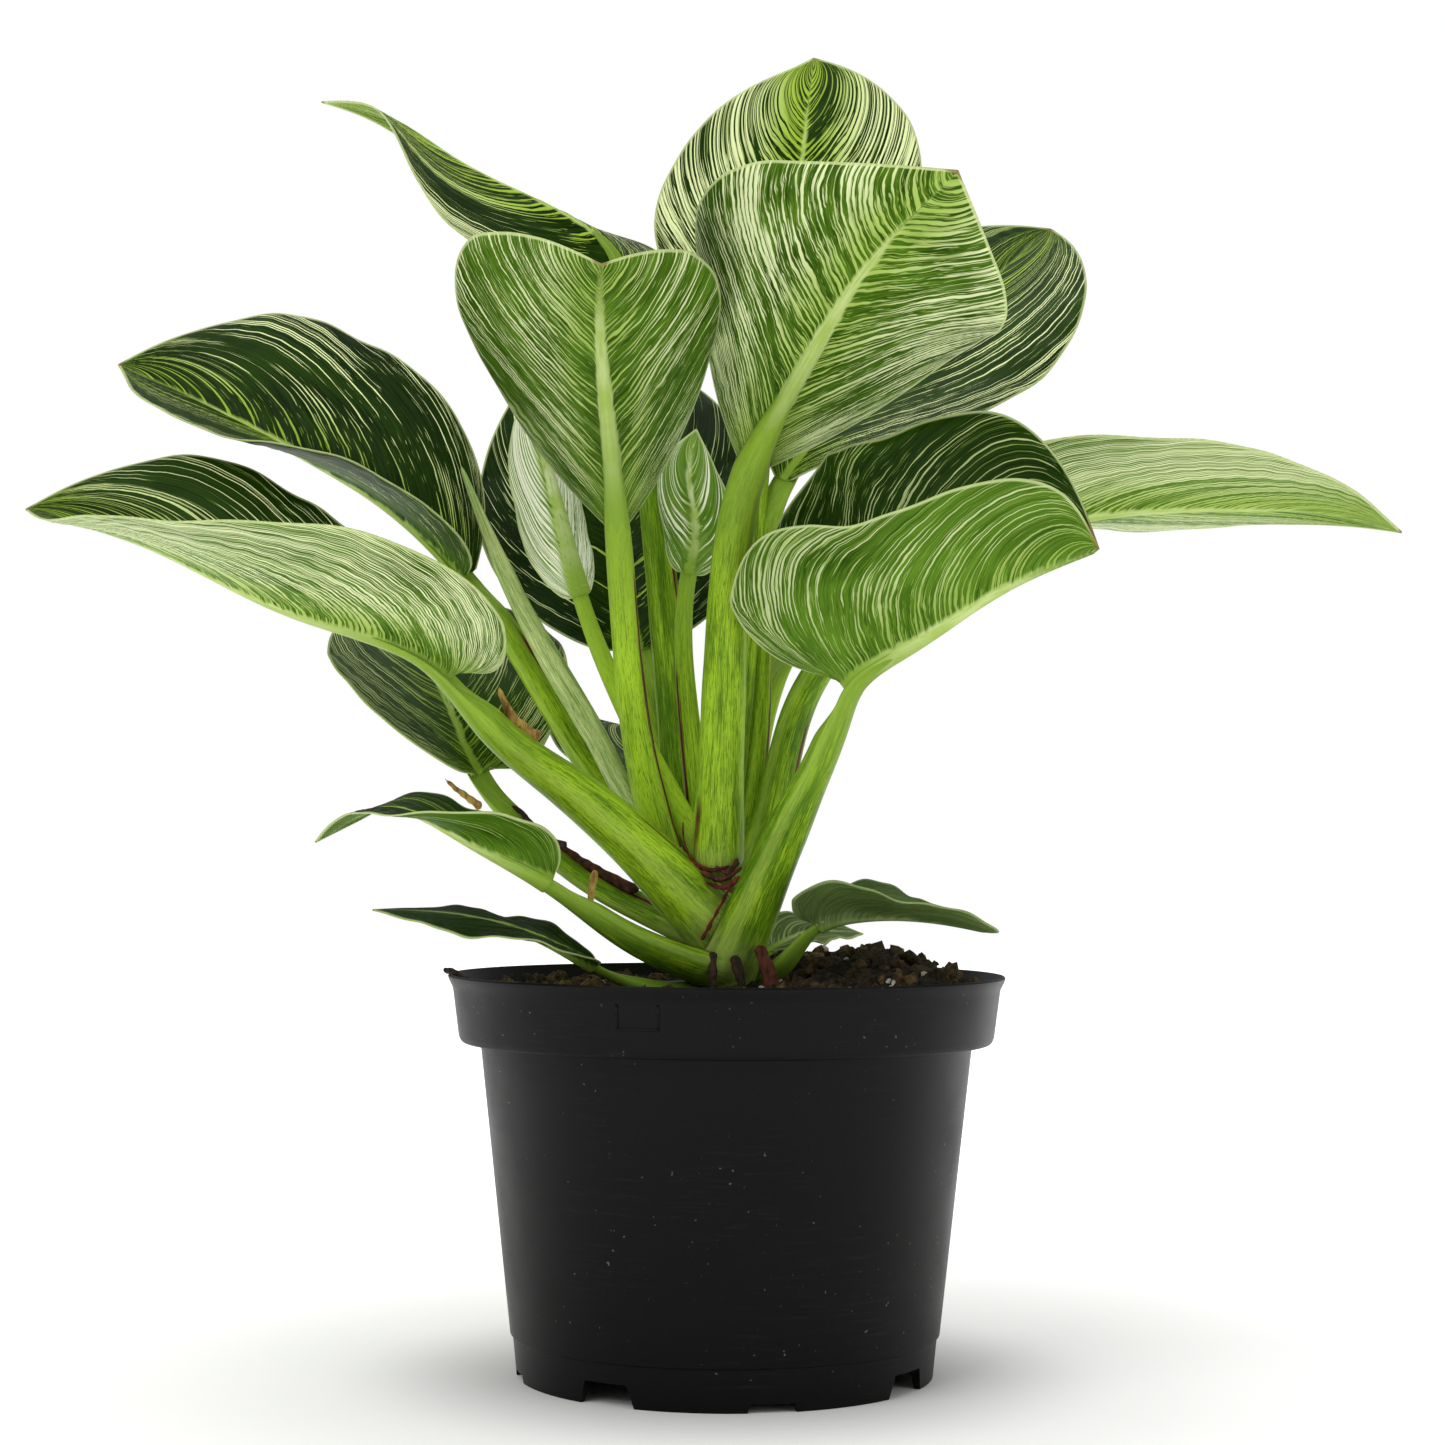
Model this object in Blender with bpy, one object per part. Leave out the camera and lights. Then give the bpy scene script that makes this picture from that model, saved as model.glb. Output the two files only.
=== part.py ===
"""A potted birkin philodendron: a short stem with striped leaves on long stalks in a plain black nursery pot.

The pot stands on z = 0 with its axis on the origin. +Z is up, the front of the plant looks along -Y and +X is
to the right. The leaf table is in millimetres and degrees, and every mesh is written in metres.
"""

import math

import bmesh
import bpy
import numpy as np

MM = 0.001
GAP = 0.3
GAP_SAFE = 0.4

# Pot, in millimetres
LIP_RADIUS = 82.5
POT_HEIGHT = 117.5
BAND_TOP_RADIUS = 81.0
BAND_BOTTOM_RADIUS = 79.0
BAND_BOTTOM = 97.4
BODY_TOP_RADIUS = 72.8
BODY_BOTTOM_RADIUS = 63.3
FOOT_LINE = 12.5
FOOT_TOP_RADIUS = 62.5
FOOT_RADIUS = 61.3
WALL = 1.6
FLOOR_BOTTOM = 4.6
FLOOR_TOP = 6.4
POT_SIDES = 48
TALL_NOTCH = dict(first_deg=-32.5, width=20.0, height=6.5, slant=3.0, depth=9.0)
SHALLOW_NOTCH = dict(first_deg=12.5, width=15.0, height=2.4, slant=1.0, depth=6.0)
DRAIN_HOLE = (14.0, 7.0)
DRAIN_HOLE_RADIUS = 54.0

# Soil, in millimetres
SOIL_SIDES = 32
SOIL_CLEARANCE = 0.6
SOIL_EDGE = 111.5
MOUND_RISE = 12.0
MOUND_CENTRE = (40.0, 14.0)
MOUND_SPREAD = (34.0, 44.0)
SOIL_RINGS = (0.92, 0.76, 0.60, 0.44, 0.28, 0.13)

# Stem: points up its middle and the radius at each
STEM_LINE = ((5, -2, 84), (3, -3, 108), (-1, 0, 130), (-6, 4, 150))
STEM_RADII = (9.0, 9.5, 9.0, 6.0)
STEM_SIDES = 12

# Blade and stalk
BLADE_THICKNESS = 0.9
RIB_DEPTH = 2.6
RIB_POWER = 1.6
BLADE_ROWS = 13
BLADE_TIP = 0.985
ROW_SPREAD = 1.35
BLADE_COLUMNS = 7
RIB_HALF_WIDTH = (3.4, 0.8)
STALK_ROWS = 8
STALK_SIDES = 10
STALK_TAPER = 1.2
RIPPLE = dict(height=1.2, count=3.0, lag=1.7)

# Half outlines, from the stalk to the tip: (share of the length, share of the half width)
OUTLINES = dict(
    ovate=((0, 0.09), (0, 0.28), (0.045, 0.56), (0.15, 0.83), (0.32, 1), (0.52, 0.96), (0.72, 0.70),
           (0.87, 0.36), (0.95, 0.13), (1, 0.006)),
    broad=((0, 0.09), (0.045, 0.28), (0.13, 0.55), (0.28, 0.83), (0.48, 1), (0.68, 0.97), (0.84, 0.72),
           (0.94, 0.38), (0.98, 0.15), (1, 0.006)),
    lobed=((0, 0.09), (0, 0.30), (0.01, 0.60), (0.09, 0.88), (0.27, 1), (0.48, 0.93), (0.70, 0.64),
           (0.86, 0.31), (0.945, 0.12), (1, 0.006)),
    cupped=((0, 0.09), (0, 0.32), (0.01, 0.66), (0.08, 0.92), (0.24, 1), (0.46, 0.97), (0.70, 0.88),
            (0.89, 0.70), (0.975, 0.40), (1, 0.006)),
    blunt=((0, 0.09), (0, 0.40), (0, 0.78), (0.06, 1), (0.22, 1), (0.42, 0.88), (0.64, 0.76),
           (0.84, 0.66), (0.96, 0.44), (1, 0.006)),
    taper=((0, 0.09), (0, 0.28), (0.045, 0.56), (0.14, 0.83), (0.29, 1), (0.45, 0.92), (0.62, 0.62),
           (0.78, 0.30), (0.90, 0.10), (1, 0.006)),
)

# Leaves, from the front to the back. stalk and rib are points up the stalk and on along the midrib in mm;
# half_width is left and right of the midrib; face is the way the upper side looks at the base, the middle and
# the tip; fold and curl are how far each half is turned up at the midrib and bent on towards its margin, in
# degrees at the base, the middle and the tip; thick is the stalk's width and height at the foot and the top.
FLAT = ((0, 0, 0), (0, 0, 0))
LEAVES = dict(
    left_twisted=dict(
        outline=("ovate", "ovate"), thick=((16, 11), (7, 6)), half_width=(19, 20),
        stalk=((-3, -22, 119), (-30, -40, 131), (-50, -50, 145)),
        rib=((-72, -55, 157), (-95, -50, 166), (-117, -40, 156)),
        face=((0, 0.2, 1), (0, 0.2, 1), (0, 0.2, 1)), fold=((70, -8, -10), (50, 30, 10)),
    ),
    right_cupped=dict(
        outline=("cupped", "blunt"), thick=((20, 18), (9, 8)), half_width=(60, 45),
        stalk=((2, -20, 125), (18.7, -36, 164.3), (30, -48, 190.3), (34, -52, 200)),
        rib=((49, -62, 211), (74, -72, 226), (100, -80, 237)),
        face=((-0.5, 0, 1), (-0.5, 0, 1), (-0.5, 0, 1)), fold=((70, 75, 60), (80, 58, 62)),
        curl=((0, 0, 20), (0, 0, 0)),
    ),
    left_long=dict(
        outline=("lobed", "broad"), thick=((22, 22), (11, 9)), half_width=(50, 38),
        stalk=((-4, -14, 134), (-45, -30, 172), (-68, -37, 190.3), (-79, -40, 203)),
        rib=((-122, -42, 221), (-164, -30, 240), (-208, -10, 254)),
        face=((0.3, -0.25, 1), (0.2, -0.25, 1), (0.2, -0.25, 1)), fold=((50, 28, -5), (35, 42, 40)),
    ),
    front_right=dict(
        outline=("broad", "broad"), thick=((16, 14), (10, 9)), half_width=(40, 46),
        stalk=((-3, -16, 148), (-0.8, -30, 212), (6, -45, 262)),
        rib=((18, -60, 284), (35, -95, 308), (57, -140, 325)),
        face=((0.3, 0.7, 0.5), (0.4, 0.5, 0.8), (0.4, 0.5, 0.8)), fold=((45, 18, -20), (30, 2, -25)),
    ),
    front_left=dict(
        outline=("broad", "broad"), thick=((11, 10), (7.5, 7)), half_width=(36, 45),
        stalk=((-16.5, 1, 147), (-23.5, -8, 171.7), (-28, -20, 198), (-32, -34, 246)),
        rib=((-34, -52, 272), (-35, -85, 293), (-33, -125, 304)),
        face=((0, 1, 0.3), (0, 1, 1), (0, 0.6, 1)), fold=((45, 28, 34), (45, 28, 34)),
    ),
    low_right=dict(
        outline=("cupped", "cupped"), thick=((9, 7), (6, 5)), half_width=(18, 20),
        stalk=((7, -10, 115), (17, -22, 122), (26, -28, 133)),
        rib=((38, -30, 136), (57, -30, 135), (76, -24, 131)), face=((0, 0, 1), (0, 0, 1), (0, 0, 1)),
        fold=((30, 25, 10), (35, 15, 0)),
    ),
    low_left=dict(
        outline=("ovate", "ovate"), thick=((7, 6), (5, 5)), half_width=(16, 16),
        stalk=((-11, -20, 114), (-25, -36, 116), (-37, -42, 122)),
        rib=((-50, -46, 129), (-75, -48, 136), (-100, -44, 137)),
        face=((0, -0.1, 1), (0, -0.1, 1), (0, -0.1, 1)), fold=((10, -10, -10), (20, 2, 0)),
    ),
    left_upper=dict(
        outline=("ovate", "broad"), thick=((16, 11), (8, 7)), half_width=(40, 44),
        stalk=((-14, 7, 145), (-47.5, 6, 190), (-79, 6, 236)),
        rib=((-103, 8, 258), (-132, 12, 275), (-161, 18, 290), (-190, 30, 304)),
        face=((0.3, -0.6, 1), (0.2, -0.6, 1), (0.2, -0.6, 1)), fold=((55, 25, 5), (50, 48, 30)),
        curl=((0, 0, 0), (-10, -20, -20)),
    ),
    young_curled=dict(
        outline=("ovate", "ovate"), thick=((8, 7), (5, 5)), half_width=(14, 14),
        stalk=((-7, 2, 154), (-12, 2, 196), (-12, 4, 237)),
        rib=((-10, 2, 250), (-12, 2, 265), (-10, 6, 281)), face=((0, 1, 0.2), (0, 1, 0.2), (0, 1, 0.2)),
        fold=((20, 10, 10), (20, 10, 10)), curl=((60, 60, 40), (60, 60, 40)),
    ),
    young_pale=dict(
        outline=("ovate", "ovate"), thick=((8, 7), (5, 5)), half_width=(26, 14),
        stalk=((-8, 0, 154), (-29, -4, 193), (-44, -10, 229)),
        rib=((-50, -10, 251), (-56, -6, 275), (-60, 2, 296)),
        face=((-0.5, 1, 0.2), (-0.5, 1, 0.2), (-0.5, 1, 0.2)), fold=((50, 50, 40), (50, 50, 40)),
    ),
    right_far=dict(
        outline=("ovate", "ovate"), thick=((13, 12), (9, 8)), half_width=(36, 36),
        stalk=((4, 4, 139), (14.5, 6, 171.3), (22, 6, 199), (51, 4, 232)),
        rib=((112, 6, 256), (154, 14, 259), (187, 20, 258), (207, 24, 253)),
        face=((-0.2, 0.35, 1), (0, 0.35, 1), (0, 0.35, 1)), fold=((30, 16, 10), (30, 12, 6)),
    ),
    left_shaded=dict(
        outline=("ovate", "lobed"), thick=((12, 9), (7, 6)), half_width=(34, 40),
        stalk=((-11, 12, 130), (-51, 22, 151), (-76, 22, 177)),
        rib=((-85, 35, 194), (-99, 65, 218), (-116, 105, 239)),
        face=((0, -0.6, 1), (0, -0.6, 1), (0, -0.6, 1)), fold=((35, 15, 10), (35, 15, 10)),
    ),
    back_right=dict(
        outline=("broad", "broad"), thick=((14, 10), (8, 7)), half_width=(40, 44),
        stalk=((1, 10, 148), (8, 20, 200), (17, 30, 269)),
        rib=((44, 45, 298), (76, 65, 331), (106, 85, 360)),
        face=((-0.4, -1, 0.8), (-0.4, -1, 0.8), (-0.4, -1, 0.8)), fold=((25, 10, 10), (20, 5, 10)),
        curl=((0, -10, 0), (0, -10, 0)),
    ),
    back_top=dict(
        outline=("ovate", "broad"), thick=((14, 10), (7, 6)), half_width=(44, 38),
        stalk=((-4, 8, 151), (5, 20, 231), (13, 35, 307)),
        rib=((19, 40, 340), (23, 50, 377), (27, 68, 412)),
        face=((0, -1, 0.2), (0, -1, 0.3), (0, -1, 0.3)), fold=((25, 10, 10), (25, 10, 10)),
        curl=((-10, -15, 0), (-10, -15, 0)),
    ),
    back_left=dict(
        outline=("taper", "taper"), thick=((14, 10), (7, 6)), half_width=(30, 32),
        stalk=((-11, 10, 151), (-20, 25, 231), (-31, 40, 320)),
        rib=((-38, 45, 344), (-61, 50, 361), (-88, 58, 376), (-111, 68, 392), (-135, 80, 400)),
        face=((0, -0.8, 1), (0, -0.4, 1), (0, 0.8, 0.7)), fold=((-20, -25, 0), (-20, -30, 0)),
    ),
    right_hidden=dict(
        outline=("ovate", "ovate"), thick=((14, 11), (10, 8)), half_width=(40, 40),
        stalk=((5, 13, 146), (9.3, 33, 195.9), (17.5, 45, 216.4)),
        rib=((27, 65, 226), (39, 95, 238), (52, 130, 246)),
        face=((0, -0.5, 1), (0, -0.5, 1), (0, -0.5, 1)), fold=((30, 20, 10), (30, 20, 10)),
    ),
    low_back=dict(
        outline=("ovate", "ovate"), thick=((12, 9), (7, 6)), half_width=(34, 34),
        stalk=((-7, 12, 139), (-18, 30, 154), (-24, 50, 167)),
        rib=((-27, 80, 180), (-26, 110, 191), (-24, 140, 195)),
        face=((0, -0.4, 1), (0, -0.4, 1), (0, -0.4, 1)), fold=((30, 20, 10), (30, 20, 10)),
    ),
    back_dark=dict(
        outline=("ovate", "ovate"), thick=((14, 10), (8, 7)), half_width=(44, 50),
        stalk=((-8, 14, 151), (-19, 30, 182), (-28, 45, 217)),
        rib=((-35, 60, 253), (-43, 85, 296), (-50, 120, 332)),
        face=((0, -1, 0.4), (0, -1, 0.4), (0, -1, 0.6)), fold=((20, 5, 0), (20, 5, 0)),
        curl=((0, -20, 0), (0, -20, 0)),
    ),
    old_pale=dict(
        outline=("ovate", "ovate"), thick=((5, 4), (4, 3)), half_width=(12, 12),
        stalk=((3, 10, 114), (7, 22, 119), (13, 34, 123)),
        rib=((23, 42, 128), (32, 46, 129), (43, 50, 128)),
        face=((0, -0.4, 1), (0, -0.4, 1), (0, -0.4, 1)), fold=((20, 10, 0), (20, 10, 0)),
    ),
)

# The newest leaf, still rolled into a spear: points up its middle and the radius at each
SPEAR_LINE = ((-14, -2, 151), (-30, -4, 170), (-38, -4, 185), (-52, -4, 209), (-67, -4, 237), (-80, -4, 268))
SPEAR_RADII = (3.2, 3.4, 3.6, 3.6, 2.6, 0.8)

# Roots, dry sheaths and twigs: points, (width, height) at each end, the way the flat side looks, and material
SCRAPS = dict(
    root_front=dict(line=((-4, -30, 125), (-4, -33, 119), (-3, -33, 108)), thick=((2.6, 2.6), (1.8, 1.8)),
                    face=(0, -1, 0), skin="root"),
    root_front_right=dict(line=((2, -30, 124), (4, -32, 117), (5, -32, 107)), thick=((3, 3), (2, 2)),
                          face=(0, -1, 0), skin="root"),
    dry_sheath=dict(line=((9, -31, 127), (12, -32, 119), (14, -32, 109)), thick=((3, 1.6), (6, 2.2)),
                    face=(0.3, -1, 0), skin="dry_sheath"),
    dry_bract_left=dict(line=((-27, 15, 141.5), (-39, 19, 147.6), (-54, 22, 157)), thick=((5, 2.2), (2, 1.6)),
                        face=(-0.5, -0.2, 1), skin="dry_sheath"),
)

SKINS = dict(
    pot=("#1b1c1d", 0.48),
    soil=("#2e2419", 0.95),
    blade=("#3f6b2c", 0.45),
    young_blade=("#a9bf86", 0.50),
    old_blade=("#9fae8c", 0.60),
    stalk=("#7fa63a", 0.45),
    root=("#5b3a24", 0.80),
    dry_sheath=("#7a4128", 0.75),
)
YOUNG_LEAVES = ("young_pale", "young_curled")
OLD_LEAVES = ("old_pale",)


def linear(channel):
    """An sRGB channel from 0 to 255 as a linear value from 0 to 1."""
    share = channel / 255
    return share / 12.92 if share <= 0.04045 else ((share + 0.055) / 1.055) ** 2.4


def make_material(name):
    """A Principled material from SKINS."""
    colour, roughness = SKINS[name]
    red, green, blue = (linear(int(colour[i:i + 2], 16)) for i in (1, 3, 5))
    material = bpy.data.materials.new(name)
    material.use_nodes = True
    shader = material.node_tree.nodes["Principled BSDF"]
    shader.inputs["Base Color"].default_value = (red, green, blue, 1)
    shader.inputs["Roughness"].default_value = roughness
    shader.inputs["Metallic"].default_value = 0
    return material


def unit(vectors):
    """Vectors scaled to length 1."""
    return vectors / np.maximum(np.linalg.norm(vectors, axis=-1, keepdims=True), 1e-12)


def chord_knots(points):
    """The running length along a list of points."""
    return np.concatenate([[0], np.cumsum(np.linalg.norm(np.diff(points, axis=0), axis=1))])


def spline(points, knots, at):
    """Points at the given knots on the natural cubic spline through the points."""
    points = np.asarray(points, float)
    count = len(points)
    step = np.diff(knots)
    matrix = np.zeros((count, count))
    right = np.zeros_like(points)
    matrix[0, 0] = matrix[-1, -1] = 1
    for i in range(1, count - 1):
        matrix[i, i - 1:i + 2] = step[i - 1], 2 * (step[i - 1] + step[i]), step[i]
        right[i] = 6 * ((points[i + 1] - points[i]) / step[i] - (points[i] - points[i - 1]) / step[i - 1])
    bend = np.linalg.solve(matrix, right)
    k = np.clip(np.searchsorted(knots, at, side="right") - 1, 0, count - 2)
    span = step[k][:, None]
    a = (knots[k + 1] - at)[:, None] / span
    b = 1 - a
    return a * points[k] + b * points[k + 1] + ((a**3 - a) * bend[k] + (b**3 - b) * bend[k + 1]) * span**2 / 6


def blend(values, share):
    """The quadratic through the values at the base, the middle and the tip."""
    base, middle, tip = (np.asarray(value, float) for value in values)
    x = np.clip(np.asarray(share, float), 0, 1)
    if base.ndim:
        x = x[..., None]
    return base * (1 - x) * (1 - 2 * x) + middle * 4 * x * (1 - x) + tip * x * (2 * x - 1)


def half_outline(name, share):
    """Points on a half outline, by share of the way along it from the stalk to the tip."""
    points = np.array(OUTLINES[name], float)
    knots = chord_knots(points * (1, 0.5))
    return spline(points, knots / knots[-1], share)


def leaf_line(leaf, samples=160):
    """The middle of the stalk and the midrib: one smooth curve, in two runs that meet at the blade."""
    points = np.array(leaf["stalk"] + leaf["rib"], float)
    knots = chord_knots(points)
    joint = knots[len(leaf["stalk"]) - 1]
    stalk = spline(points, knots, np.linspace(0, joint, samples))
    rib = spline(points, knots, np.linspace(joint, knots[-1], samples))
    return stalk, rib


def blade_surface(leaf, u, v):
    """The upper skin of a blade, and its outward normal on the underside.

    u runs from the stalk (0) to the tip (1), and v from the left margin (-1) over the midrib (0) to the right
    one (1). A row of equal u runs nearly straight across.
    """
    _, rib = leaf_line(leaf)
    along = chord_knots(rib)
    length = along[-1]
    tangents = unit(np.gradient(rib, axis=0))
    left = v < 0
    margins = [half_outline(name, u[:, 0]) for name in leaf["outline"]]
    margin_x, margin_y = (np.where(left, margins[0][:, i, None], margins[1][:, i, None]) for i in (0, 1))
    start = u**ROW_SPREAD
    out = np.abs(v)
    x = (1 - out) ** 2 * start + 2 * out * (1 - out) * (start + 0.46 * (margin_x - start)) + out**2 * margin_x
    across = 2 * out * (1 - out) * 0.64 * margin_y + out**2 * margin_y
    centre = np.stack([np.interp(x * length, along, rib[:, i]) for i in range(3)], -1)
    tangent = unit(np.stack([np.interp(x * length, along, tangents[:, i]) for i in range(3)], -1))
    centre = centre + np.minimum(x * length, 0)[..., None] * tangent
    face = blend(leaf["face"], x)
    face = unit(face - (face * tangent).sum(-1, keepdims=True) * tangent)
    side = np.cross(tangent, face) * np.where(left, -1, 1)[..., None]
    width = np.where(left, *leaf["half_width"])
    fold, curl = (np.radians(np.where(left, *(blend(half, x) for half in leaf.get(key, FLAT))))
                  for key in ("fold", "curl"))
    curl = np.where(np.abs(curl) < 1e-3, 1e-3, curl)
    turned = fold + curl * across
    reach = (np.sin(turned) - np.sin(fold)) / curl * width
    rise = (np.cos(fold) - np.cos(turned)) / curl * width
    phase = 2 * np.pi * RIPPLE["count"] * u + np.where(left, 0, RIPPLE["lag"])
    rise = rise + RIPPLE["height"] * across**2 * np.sin(phase) * np.sin(np.pi * u)
    upper = centre + reach[..., None] * side + rise[..., None] * face
    under = np.sin(turned)[..., None] * side - np.cos(turned)[..., None] * face
    return upper, under, face, fold


def blade_grid(leaf):
    """The u and v of a blade's points: seven columns, the middle three of them the raised midrib."""
    rows = np.linspace(0, BLADE_TIP, BLADE_ROWS)
    rib_width = blend_ends(RIB_HALF_WIDTH, rows)
    columns = np.zeros((BLADE_ROWS, BLADE_COLUMNS))
    halves = zip(leaf["outline"], leaf["half_width"], (-1, 1), ((2, 1, 0), (4, 5, 6)))
    for name, width, sign, places in halves:
        reach = 1.28 * width * np.maximum(half_outline(name, rows)[:, 1], 1e-3)
        rib = np.minimum(rib_width / reach, 0.45)
        for place, share in zip(places, (rib, (1 + rib) / 2, np.ones(BLADE_ROWS))):
            columns[:, place] = sign * share
    return np.repeat(rows[:, None], BLADE_COLUMNS, axis=1), columns


def blend_ends(ends, share):
    """A value that runs evenly from the first end to the second."""
    return ends[0] + (ends[1] - ends[0]) * share


def grid_faces(rows, columns, offset=0, flip=False):
    """Triangles over a grid of points, two to a cell, split alike on both skins, mirrored at the midrib."""
    faces = []
    for i in range(rows - 1):
        for j in range(columns - 1):
            a = offset + i * columns + j
            b, c, d = a + 1, a + columns + 1, a + columns
            cell = [(a, b, c), (a, c, d)] if j < columns // 2 else [(a, b, d), (b, c, d)]
            faces += [face[::-1] for face in cell] if flip else cell
    return faces


def blade_mesh(leaf):
    """A closed blade: the upper skin, the underskin with its raised midrib, and a strip round the edge."""
    u, v = blade_grid(leaf)
    upper, under, face, fold = blade_surface(leaf, u, v)
    rows, wide = u.shape
    middle = wide // 2
    depth = np.full(u.shape, BLADE_THICKNESS)
    depth[:, middle] = BLADE_THICKNESS / np.maximum(np.cos(fold[:, middle]), 0.5)
    depth[:, middle] += RIB_DEPTH * (1 - u[:, middle]) ** RIB_POWER
    under[:, middle] = -face[:, middle]
    lower = upper + depth[..., None] * under
    count = rows * wide
    rim = list(range(wide)) + [i * wide + wide - 1 for i in range(1, rows)]
    rim += [count - 1 - j for j in range(1, wide)] + [i * wide for i in range(rows - 2, 0, -1)]
    faces = grid_faces(rows, wide) + grid_faces(rows, wide, offset=count, flip=True)
    for a, b in zip(rim, rim[1:] + rim[:1]):
        faces += [(b, a, a + count), (b, a + count, b + count)]
    return np.concatenate([upper.reshape(-1, 3), lower.reshape(-1, 3)]), faces


def tube_mesh(line, face, widths, heights, sides):
    """A closed tube with an oval section of the given width and height at each point of its line."""
    tangent = unit(np.gradient(line, axis=0))
    face = np.broadcast_to(np.asarray(face, float), line.shape)
    up = unit(face - (face * tangent).sum(-1, keepdims=True) * tangent)
    side = np.cross(tangent, up)
    turn = np.arange(sides) * 2 * np.pi / sides
    wide = widths[:, None, None] / 2 * np.cos(turn)[None, :, None] * side[:, None]
    high = heights[:, None, None] / 2 * np.sin(turn)[None, :, None] * up[:, None]
    points = (line[:, None] + wide + high).reshape(-1, 3)
    faces = [tuple(range(sides)), tuple(len(points) - 1 - i for i in range(sides))]
    for i in range(len(line) - 1):
        for j in range(sides):
            k = (j + 1) % sides
            a, b = i * sides + j, i * sides + k
            faces.append((b, a, a + sides, b + sides))
    return points, faces


def stalk_mesh(leaf, grow=0.0):
    """A leaf's stalk, thick where it clasps the stem. It ends just short of the blade."""
    stalk, _ = leaf_line(leaf)
    share = np.linspace(0, 1, STALK_ROWS)
    length = chord_knots(stalk)
    at = share * (length[-1] - GAP_SAFE + grow)
    line = np.stack([np.interp(at, length, stalk[:, i]) for i in range(3)], -1)
    line[0] += grow * unit(line[0] - line[1])
    (foot_width, foot_height), (top_width, top_height) = leaf["thick"]
    swell = (1 - share) ** STALK_TAPER
    widths = top_width + (foot_width - top_width) * swell + 2 * grow
    heights = top_height + (foot_height - top_height) * swell + 2 * grow
    return tube_mesh(line, leaf["face"][0], widths, heights, STALK_SIDES)


def smooth_tube(line, radii, face, sides, rows, grow=0.0):
    """A round tube along the spline through a few points, with a radius for each point."""
    points = np.array(line, float)
    knots = chord_knots(points)
    at = np.linspace(0, knots[-1], rows)
    thick = 2 * np.interp(at, knots, radii) + 2 * grow
    return tube_mesh(spline(points, knots, at), face, thick, thick, sides)


def stem_mesh(grow=0.0):
    """The short stem, which leans a little up to the left."""
    return smooth_tube(STEM_LINE, STEM_RADII, (0, -1, 0), STEM_SIDES, 7, grow)


def spear_mesh(grow=0.0):
    """The rolled new leaf."""
    return smooth_tube(SPEAR_LINE, SPEAR_RADII, (0, -1, 0), 8, 9, grow)


def scrap_mesh(scrap, grow=0.0):
    """A root stub or a dry sheath: a flattened tube that narrows or widens from end to end."""
    points = np.array(scrap["line"], float)
    knots = chord_knots(points)
    share = np.linspace(0, 1, 5)
    (start_width, start_height), (end_width, end_height) = scrap["thick"]
    widths = start_width + (end_width - start_width) * share + 2 * grow
    heights = start_height + (end_height - start_height) * share + 2 * grow
    return tube_mesh(spline(points, knots, share * knots[-1]), scrap["face"], widths, heights, 8)


def add_object(name, points, faces, material=None):
    """A mesh object from points in millimetres, with every face split into triangles."""
    mesh = bpy.data.meshes.new(name)
    mesh.from_pydata((np.asarray(points) * MM).tolist(), [], faces)
    shape = bmesh.new()
    shape.from_mesh(mesh)
    bmesh.ops.triangulate(shape, faces=shape.faces[:])
    shape.to_mesh(mesh)
    shape.free()
    thing = bpy.data.objects.new(name, mesh)
    bpy.context.collection.objects.link(thing)
    if material:
        mesh.materials.append(material)
    return thing


def bounds(thing):
    """The least and greatest corner of an object's mesh."""
    points = np.array([vertex.co[:] for vertex in thing.data.vertices])
    return points.min(0), points.max(0)


def keep_largest(thing):
    """Leaves only the largest of the pieces that a cut made."""
    shape = bmesh.new()
    shape.from_mesh(thing.data)
    unseen = set(shape.faces)
    islands = []
    while unseen:
        stack = [unseen.pop()]
        island = set(stack)
        while stack:
            near = {other for edge in stack.pop().edges for other in edge.link_faces} & unseen
            unseen -= near
            island |= near
            stack += near
        islands.append(island)
    islands.sort(key=lambda island: sum(face.calc_area() for face in island))
    scraps = [face for island in islands[:-1] for face in island]
    bmesh.ops.delete(shape, geom=scraps, context="FACES")
    bmesh.ops.dissolve_degenerate(shape, dist=1e-6, edges=shape.edges[:])
    shape.to_mesh(thing.data)
    shape.free()


def carve(thing, cutters):
    """Cuts away what other pieces fill. Each cutter is a little larger than its piece, which leaves a gap."""
    low, high = bounds(thing)
    near = []
    for cutter in cutters:
        cutter_low, cutter_high = bounds(cutter)
        if (cutter_low < high).all() and (cutter_high > low).all():
            near.append(cutter)
    for cutter in near:
        cut = thing.modifiers.new(cutter.name, "BOOLEAN")
        cut.operation = "DIFFERENCE"
        cut.solver = "EXACT"
        cut.object = cutter
    if near:
        whole = thing.data
        evaluated = thing.evaluated_get(bpy.context.evaluated_depsgraph_get())
        thing.data = bpy.data.meshes.new_from_object(evaluated)
        thing.modifiers.clear()
        bpy.data.meshes.remove(whole)
        keep_largest(thing)


def turned_mesh(profile, sides):
    """A solid of revolution from a closed profile of (radius, height) points, or one that meets the axis."""
    turn = np.arange(sides) * 2 * np.pi / sides
    points, rings = [], []
    for radius, height in profile:
        if radius == 0:
            rings.append([len(points)] * sides)
            points.append((0, 0, height))
        else:
            rings.append(list(range(len(points), len(points) + sides)))
            points += [(radius * math.cos(a), radius * math.sin(a), height) for a in turn]
    faces = []
    for lower, upper in zip(rings, rings[1:]):
        for j in range(sides):
            k = (j + 1) % sides
            face = list(dict.fromkeys((lower[j], lower[k], upper[k], upper[j])))
            faces.append(tuple(face))
    return points, faces


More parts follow.
